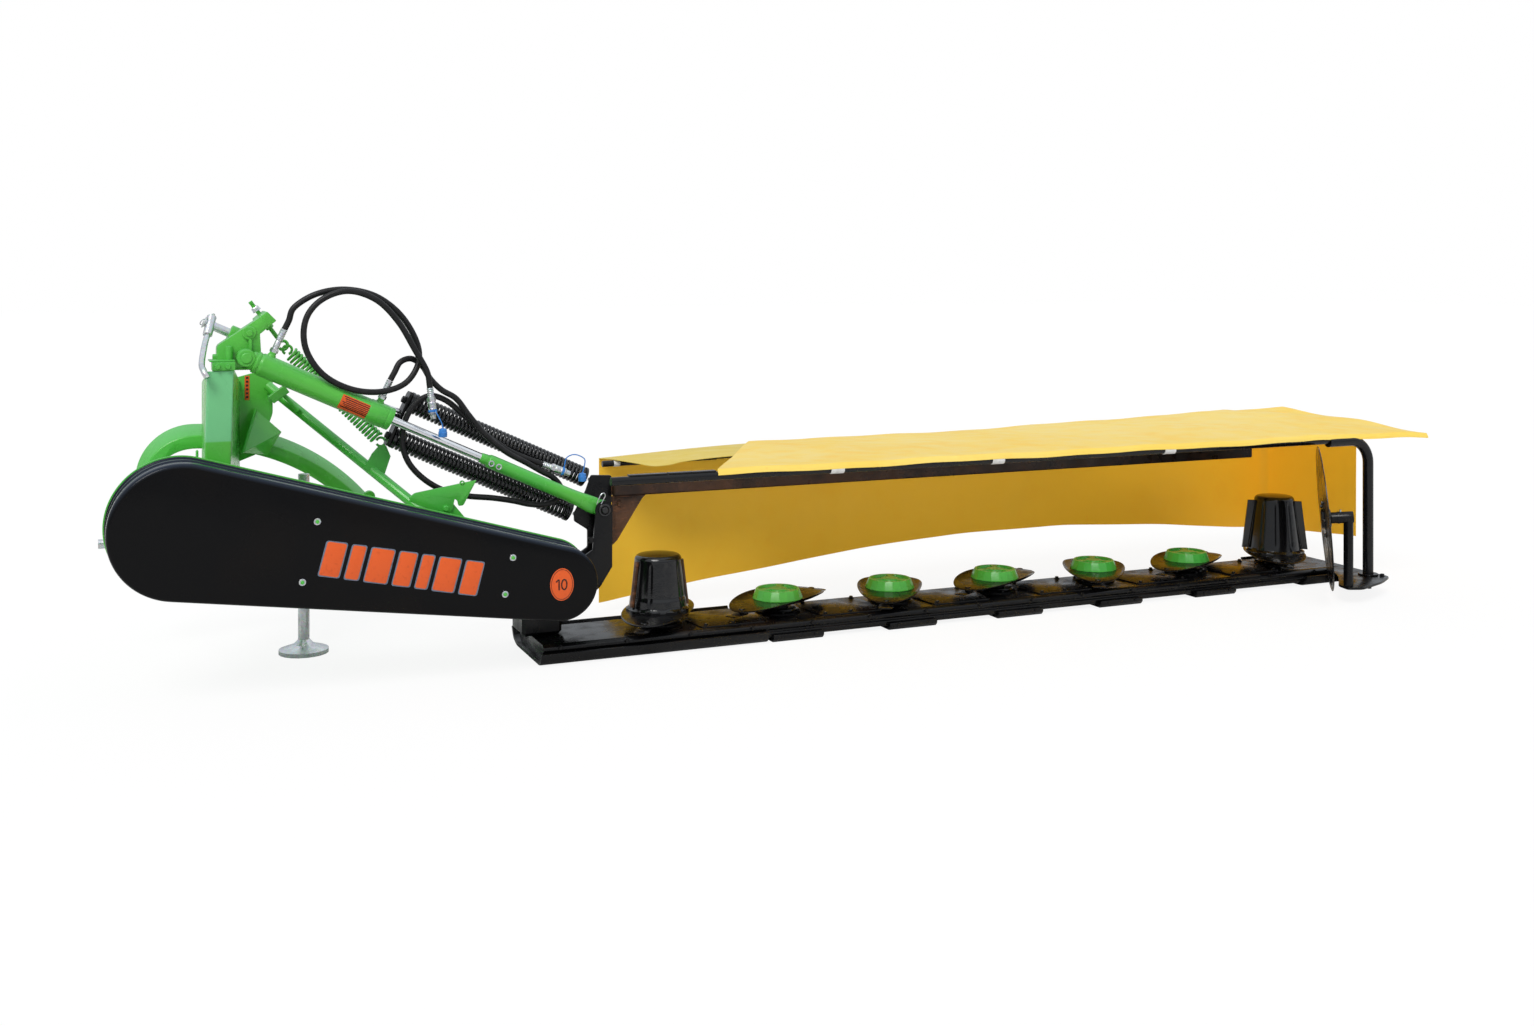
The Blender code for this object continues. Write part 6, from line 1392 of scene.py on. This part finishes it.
def make_rails():
    """Rear rail, front rail, cross arms with posts, white sleeves, and the bent outer hoop."""
    z = RAIL_TOP - RAIL_RADIUS
    shapes = [rod((-0.25, RAIL_Y, z), (2.36, RAIL_Y, z), RAIL_RADIUS, 0.0015, 32)]
    drop = 0.0005 + RAIL_RADIUS
    shapes.append(rod((0.3, 0.43, canopy_z(0.3, 0.43) - drop), (2.7, 0.43, canopy_z(2.7, 0.43) - drop),
                      RAIL_RADIUS, 0.0015, 28))
    for x in (0.48, 1.4, 2.24):
        near, far = (x, RAIL_Y, canopy_z(x, RAIL_Y) - 0.0098), (x, 0.43, canopy_z(x, 0.43) - 0.0098)
        shapes.append(rod(near, far, 0.009, 0.001, 20))
        shapes.append(slab((x - 0.015, 0.01, 0.4903), (x + 0.015, 0.04, canopy_z(x, 0.025) - 0.0098), 0.002))
    shapes.append(rod((-0.084, 0.3, 0.511), (0.31, 0.3, 0.516), 0.01, 0.001, 28))
    for start, end in ((-0.196, -0.082), (-0.078, 0.066)):
        shapes.append(slab((start, RAIL_Y - 0.006, RAIL_TOP - 0.001),
                           (end, RAIL_Y + 0.016, RAIL_TOP + 0.0035), 0.001))
    piece("cover_rail_tubes", shapes, RAIL, "mower", ["cover_rails"])
    piece("edge_tube_tape", [rod((-0.047, 0.3, 0.51147), (-0.026, 0.3, 0.51174), 0.0108, 0.0006, 28)], WHITE,
          "mower")
    sleeves = [rod((x - 0.022, RAIL_Y, z), (x + 0.022, RAIL_Y, z), RAIL_RADIUS + 0.0016, 0.0008, 32)
               for x in (0.455, 1.015, 1.677)]
    piece("white_sleeves", sleeves, WHITE, "mower")

    top = RAIL_TOP - HOOP_RADIUS
    bend = np.linspace(0.5 * PI, 0, 15)
    arc = np.stack([HOOP_X - HOOP_BEND + HOOP_BEND * np.cos(bend), np.full(15, RAIL_Y),
                    top - HOOP_BEND + HOOP_BEND * np.sin(bend)], axis=1)
    path = np.vstack([[(2.3605, RAIL_Y, top), (2.42, RAIL_Y, top)], arc,
                      [(HOOP_X, RAIL_Y, 0.3), (HOOP_X, RAIL_Y, 0.0585)]])
    piece("outer_hoop", [tube(path, HOOP_RADIUS, FORWARD, 32)], RAIL, "mower", ["cover_hoop"])


def two_sided(top, thickness, normals):
    """A sheet of cloth with a thickness: the top grid, then the same grid lower, joined round the rim."""
    bottom = top - normals * thickness
    rows, columns = top.shape[:2]
    index = np.arange(rows * columns).reshape(rows, columns)
    upper = np.stack([index[:-1, :-1], index[1:, :-1], index[1:, 1:], index[:-1, 1:]], axis=-1).reshape(-1, 4)
    lower = upper[:, ::-1] + rows * columns
    rim = np.concatenate([index[0, :], index[1:, -1], index[-1, -2::-1], index[-2:0:-1, 0]])
    following = np.roll(rim, -1)
    sides = np.stack([rim, following, following + rows * columns, rim + rows * columns], axis=1)
    return np.vstack([top.reshape(-1, 3), bottom.reshape(-1, 3)]), np.vstack([upper, lower, sides]), []


def sheet_normals(points):
    """Unit normals of a grid of points."""
    du = np.gradient(points, axis=0)
    dv = np.gradient(points, axis=1)
    return unit(np.cross(du, dv))


def sheet_area(points):
    """The area of a grid of points, cell by cell."""
    first = np.cross(points[1:, :-1] - points[:-1, :-1], points[:-1, 1:] - points[:-1, :-1])
    second = np.cross(points[1:, 1:] - points[1:, :-1], points[1:, 1:] - points[:-1, 1:])
    return float((np.linalg.norm(first, axis=-1) + np.linalg.norm(second, axis=-1)).sum() / 2)


def make_canopy():
    """The yellow top sheet: hemmed near edge, diagonal inner edge, creased and drooping outer end."""
    u = np.linspace(0, 1, 241)[:, None]
    v = np.concatenate([np.linspace(-0.0365, 0.0, 8)[:-1], np.linspace(0, 1, 61)])[None, :]
    flat = np.clip(v, 0, 1)
    y = RAIL_Y - 0.006 + flat * (CLOTH["far"] - RAIL_Y + 0.004)
    inner = 0.07 + 0.42 * flat
    x = inner + (CLOTH["end"] - 0.004 - 0.03 * (1 - flat) ** 2 - inner) * u
    z = canopy_z(x, y) + 0.0062 + canopy_swell(x, y)
    outer = hump((x - 2.45) / 0.4)
    z = z + 0.0035 * np.sin(PI * flat) * (1 - outer) - 0.012 * outer ** 2 * (1 - 0.6 * flat)
    z += (0.0016 * np.sin(9 * x + 5 * flat) + 0.001 * np.sin(23 * x - 9 * y)
          + 0.004 * outer * np.sin(16 * x + 14 * y))
    z += (0.003 * np.exp(-((x - 2.3 - 0.25 * flat) / 0.05) ** 2)
          - 0.0022 * np.exp(-((x - 2.4 - 0.2 * flat) / 0.03) ** 2))
    down = np.clip(-v, 0, 1) * (CLOTH["far"] - RAIL_Y)
    z = z - np.minimum(down, 0.028) * 0.62 + 0 * x
    y = y - np.sin(np.clip(down / 0.028, 0, 1) * PI / 2) * 0.0085 + 0 * x
    points = np.stack([x, y, z], axis=2)
    normals = sheet_normals(points)
    normals *= np.sign(normals[..., 2:3].mean())
    made = piece("canopy_sheet", [two_sided(points, 0.0022, normals)], CANOPY_CLOTH, "mower", ["canopy"], 60)
    size = (0.805, 2.79)
    min(sheet_area(points), size[0] * size[1])


def make_under_sheet():
    """The second sheet at the inner end: its free near edge lifts and dips over the black edge tube."""
    edge = smooth(mm((-50, 300, 525.5), (0, 205, 519), (32, 150, 517), (80, 132, 522), (136, 120, 531.5),
                     (264, 100, 540), (420, 85, 543)), 10)
    u, v = np.linspace(0, 1, len(edge)), np.linspace(0, 1, 31)
    x, y = CLOTH["start"] + 0.6 * u, CLOTH["far"]
    far = np.stack([x, np.full_like(x, y - 0.006), canopy_z(x, y) + canopy_swell(x, y)], axis=1)
    points = edge[:, None] * (1 - v[:, None]) + far[:, None] * v[:, None]
    x, y, z = np.moveaxis(points, 2, 0)
    z += 0.006 * np.sin(PI * v) * np.sin(PI * u)[:, None] + 0.002 * np.sin(9 * u)[:, None] * (1 - v)
    z[:] = np.minimum(z, canopy_z(x, y) + canopy_swell(x, y) + 0.0062 + 0.02 * (x < 0.3))
    normals = sheet_normals(points)
    normals *= np.sign(normals[..., 2:3].mean())
    made = piece("canopy_under_sheet", [two_sided(points, 0.002, normals)], OLIVE_CLOTH, "mower", (), 60)
    sheet_area(points)


def make_curtain():
    """The hanging curtain: one sheet along the front rail and round its outer corner, in shallow folds."""
    corner, far_y, end_x = 0.03, 0.4453, 2.7475
    straight = end_x - corner + 0.05
    quarter = corner * PI / 2
    total = straight + quarter + (far_y - corner + 0.05)
    p = np.linspace(0, 1, 361) * total
    turn = np.clip((p - straight) / corner, 0, PI / 2)
    past = np.clip(p - straight - quarter, 0, None)
    x = np.where(p < straight, -0.05 + p, end_x - corner + corner * np.sin(turn))
    y = np.where(p < straight, far_y, far_y - corner + corner * np.cos(turn)) - past
    knots_x = [-0.05, 0.0, 0.31, 0.92, 1.33, 1.77, 2.23, 2.6, 2.75]
    knots_z = [0.03, 0.04, 0.08, 0.145, 0.17, 0.17, 0.144, 0.106, 0.1]
    low = np.interp(x, knots_x, knots_z) + 0.04 * np.clip(past / 0.45, 0, 1)
    low = np.convolve(np.pad(low, 6, mode="edge"), np.ones(13) / 13, mode="valid")
    high = canopy_z(x, y) - 0.0018 + canopy_swell(x, y)
    t = np.linspace(0, 1, 61)[None, :]
    z = high[:, None] + (low - high)[:, None] * t
    fold = (0.0032 * np.sin(7.3 * p) + 0.002 * np.sin(17 * p + 1.2))[:, None] * t ** 1.3
    fold += 0.0012 * np.sin(31 * p + 4)[:, None] * t * (1 - t) * 2
    out = np.stack([np.sin(turn), np.cos(turn)], axis=1)
    points = np.stack([x[:, None] + out[:, :1] * fold, y[:, None] + out[:, 1:] * fold, z], axis=2)
    normals = sheet_normals(points)
    made = piece("front_curtain_sheet", [two_sided(points, 0.0018, normals)], CURTAIN_CLOTH, "mower",
                 ["front_curtain"], 60)
    sheet_area(points)


def make_swath():
    """The swath disc, a sheet with a raised hub and five bolts, on its stub and post; grease nipple."""
    radius = np.array([0.008, 0.008, 0.028, 0.0335, 0.0345, 0.045, 0.12, 0.22, 0.242, SWATH_RADIUS,
                       SWATH_RADIUS, 0.242, 0.22, 0.12, 0.045, 0.0345, 0.033, 0.024, 0.0])
    height = np.array(mm(48, 19.5, 19.5, 15, 4, 2.2, 2, 2, 2, 1.2, -1.2, -2, -2, -2, -2.4, -4, -10, -12, -12))
    profile = [(0, 0.048)] + list(zip(radius, height))
    shapes = [lathe(profile, SWATH_CENTRE, SWATH_OUT, 96)]
    side, up = square_to(SWATH_OUT)
    for step in range(5):
        angle = 2 * PI * step / 5
        place = SWATH_CENTRE - SWATH_OUT * 0.0022 + 0.058 * (math.cos(angle) * side + math.sin(angle) * up)
        shapes += bolt(place, -SWATH_OUT, 0.011, 0.0055, 0.009)
    piece("swath_disc_sheet", shapes, WORN, "swath", ["swath_disc"])

    post = SWATH_CENTRE + SWATH_OUT * 0.076
    column = [(0.016, 0.0583), (0.016, post[2] - 0.004), (0.014, post[2] + 0.006), (0, post[2] + 0.009)]
    shapes = [lathe(column, (post[0], post[1], 0), UP, 36)]
    stub = mm((8.3, 20), (18, 20), (19, 21.2), (19.5, 60), (19.5, 90), (18, 92.5), (8.3, 92.5))
    shapes.append(lathe(stub, SWATH_CENTRE, SWATH_OUT, 36, ring=True))
    shapes.append(ring(SWATH_CENTRE + SWATH_OUT * 0.0435, SWATH_OUT, 0.0205, 0.0185, 0.004, 0.0008))
    start, end = ((post[0] + way * 0.0165, post[1] - 0.004, 0.0605) for way in (-1, 1))
    shapes.append(weld_bead(start, end, 0.003))
    piece("swath_post_tube", shapes, WORN, "mower", ["swath_post"])
    nipple = mm((3.6, 0), (3.6, 3), (2.2, 4.5), (3, 6.5), (2.6, 8.5), (0, 8.8))
    piece("grease_nipple", [lathe(nipple, SWATH_CENTRE + SWATH_OUT * 0.05 + (0, 0, 0.0188), UP, 18)], ZINC,
          "mower")


# The order in which the pieces are made
for make in (make_stage, make_hoses, make_guard, make_arch, make_mast, make_hinge, make_hook, make_head,
             make_cylinder, make_springs, make_bar, make_shoes, make_rotors, make_rails, make_canopy,
             make_under_sheet, make_curtain, make_swath):
    make()

# Every CAD node that still shows gets its slot's finish
slots = {row["node"]: row["material_slot"] for row in frame["record"]["subparts"]}
for name, node in frame["nodes"].items():
    node.data.materials.clear()
    node.data.materials.append(BEAM_BLACK if name == "cover_beam" else SLOTS[slots[name]][0])
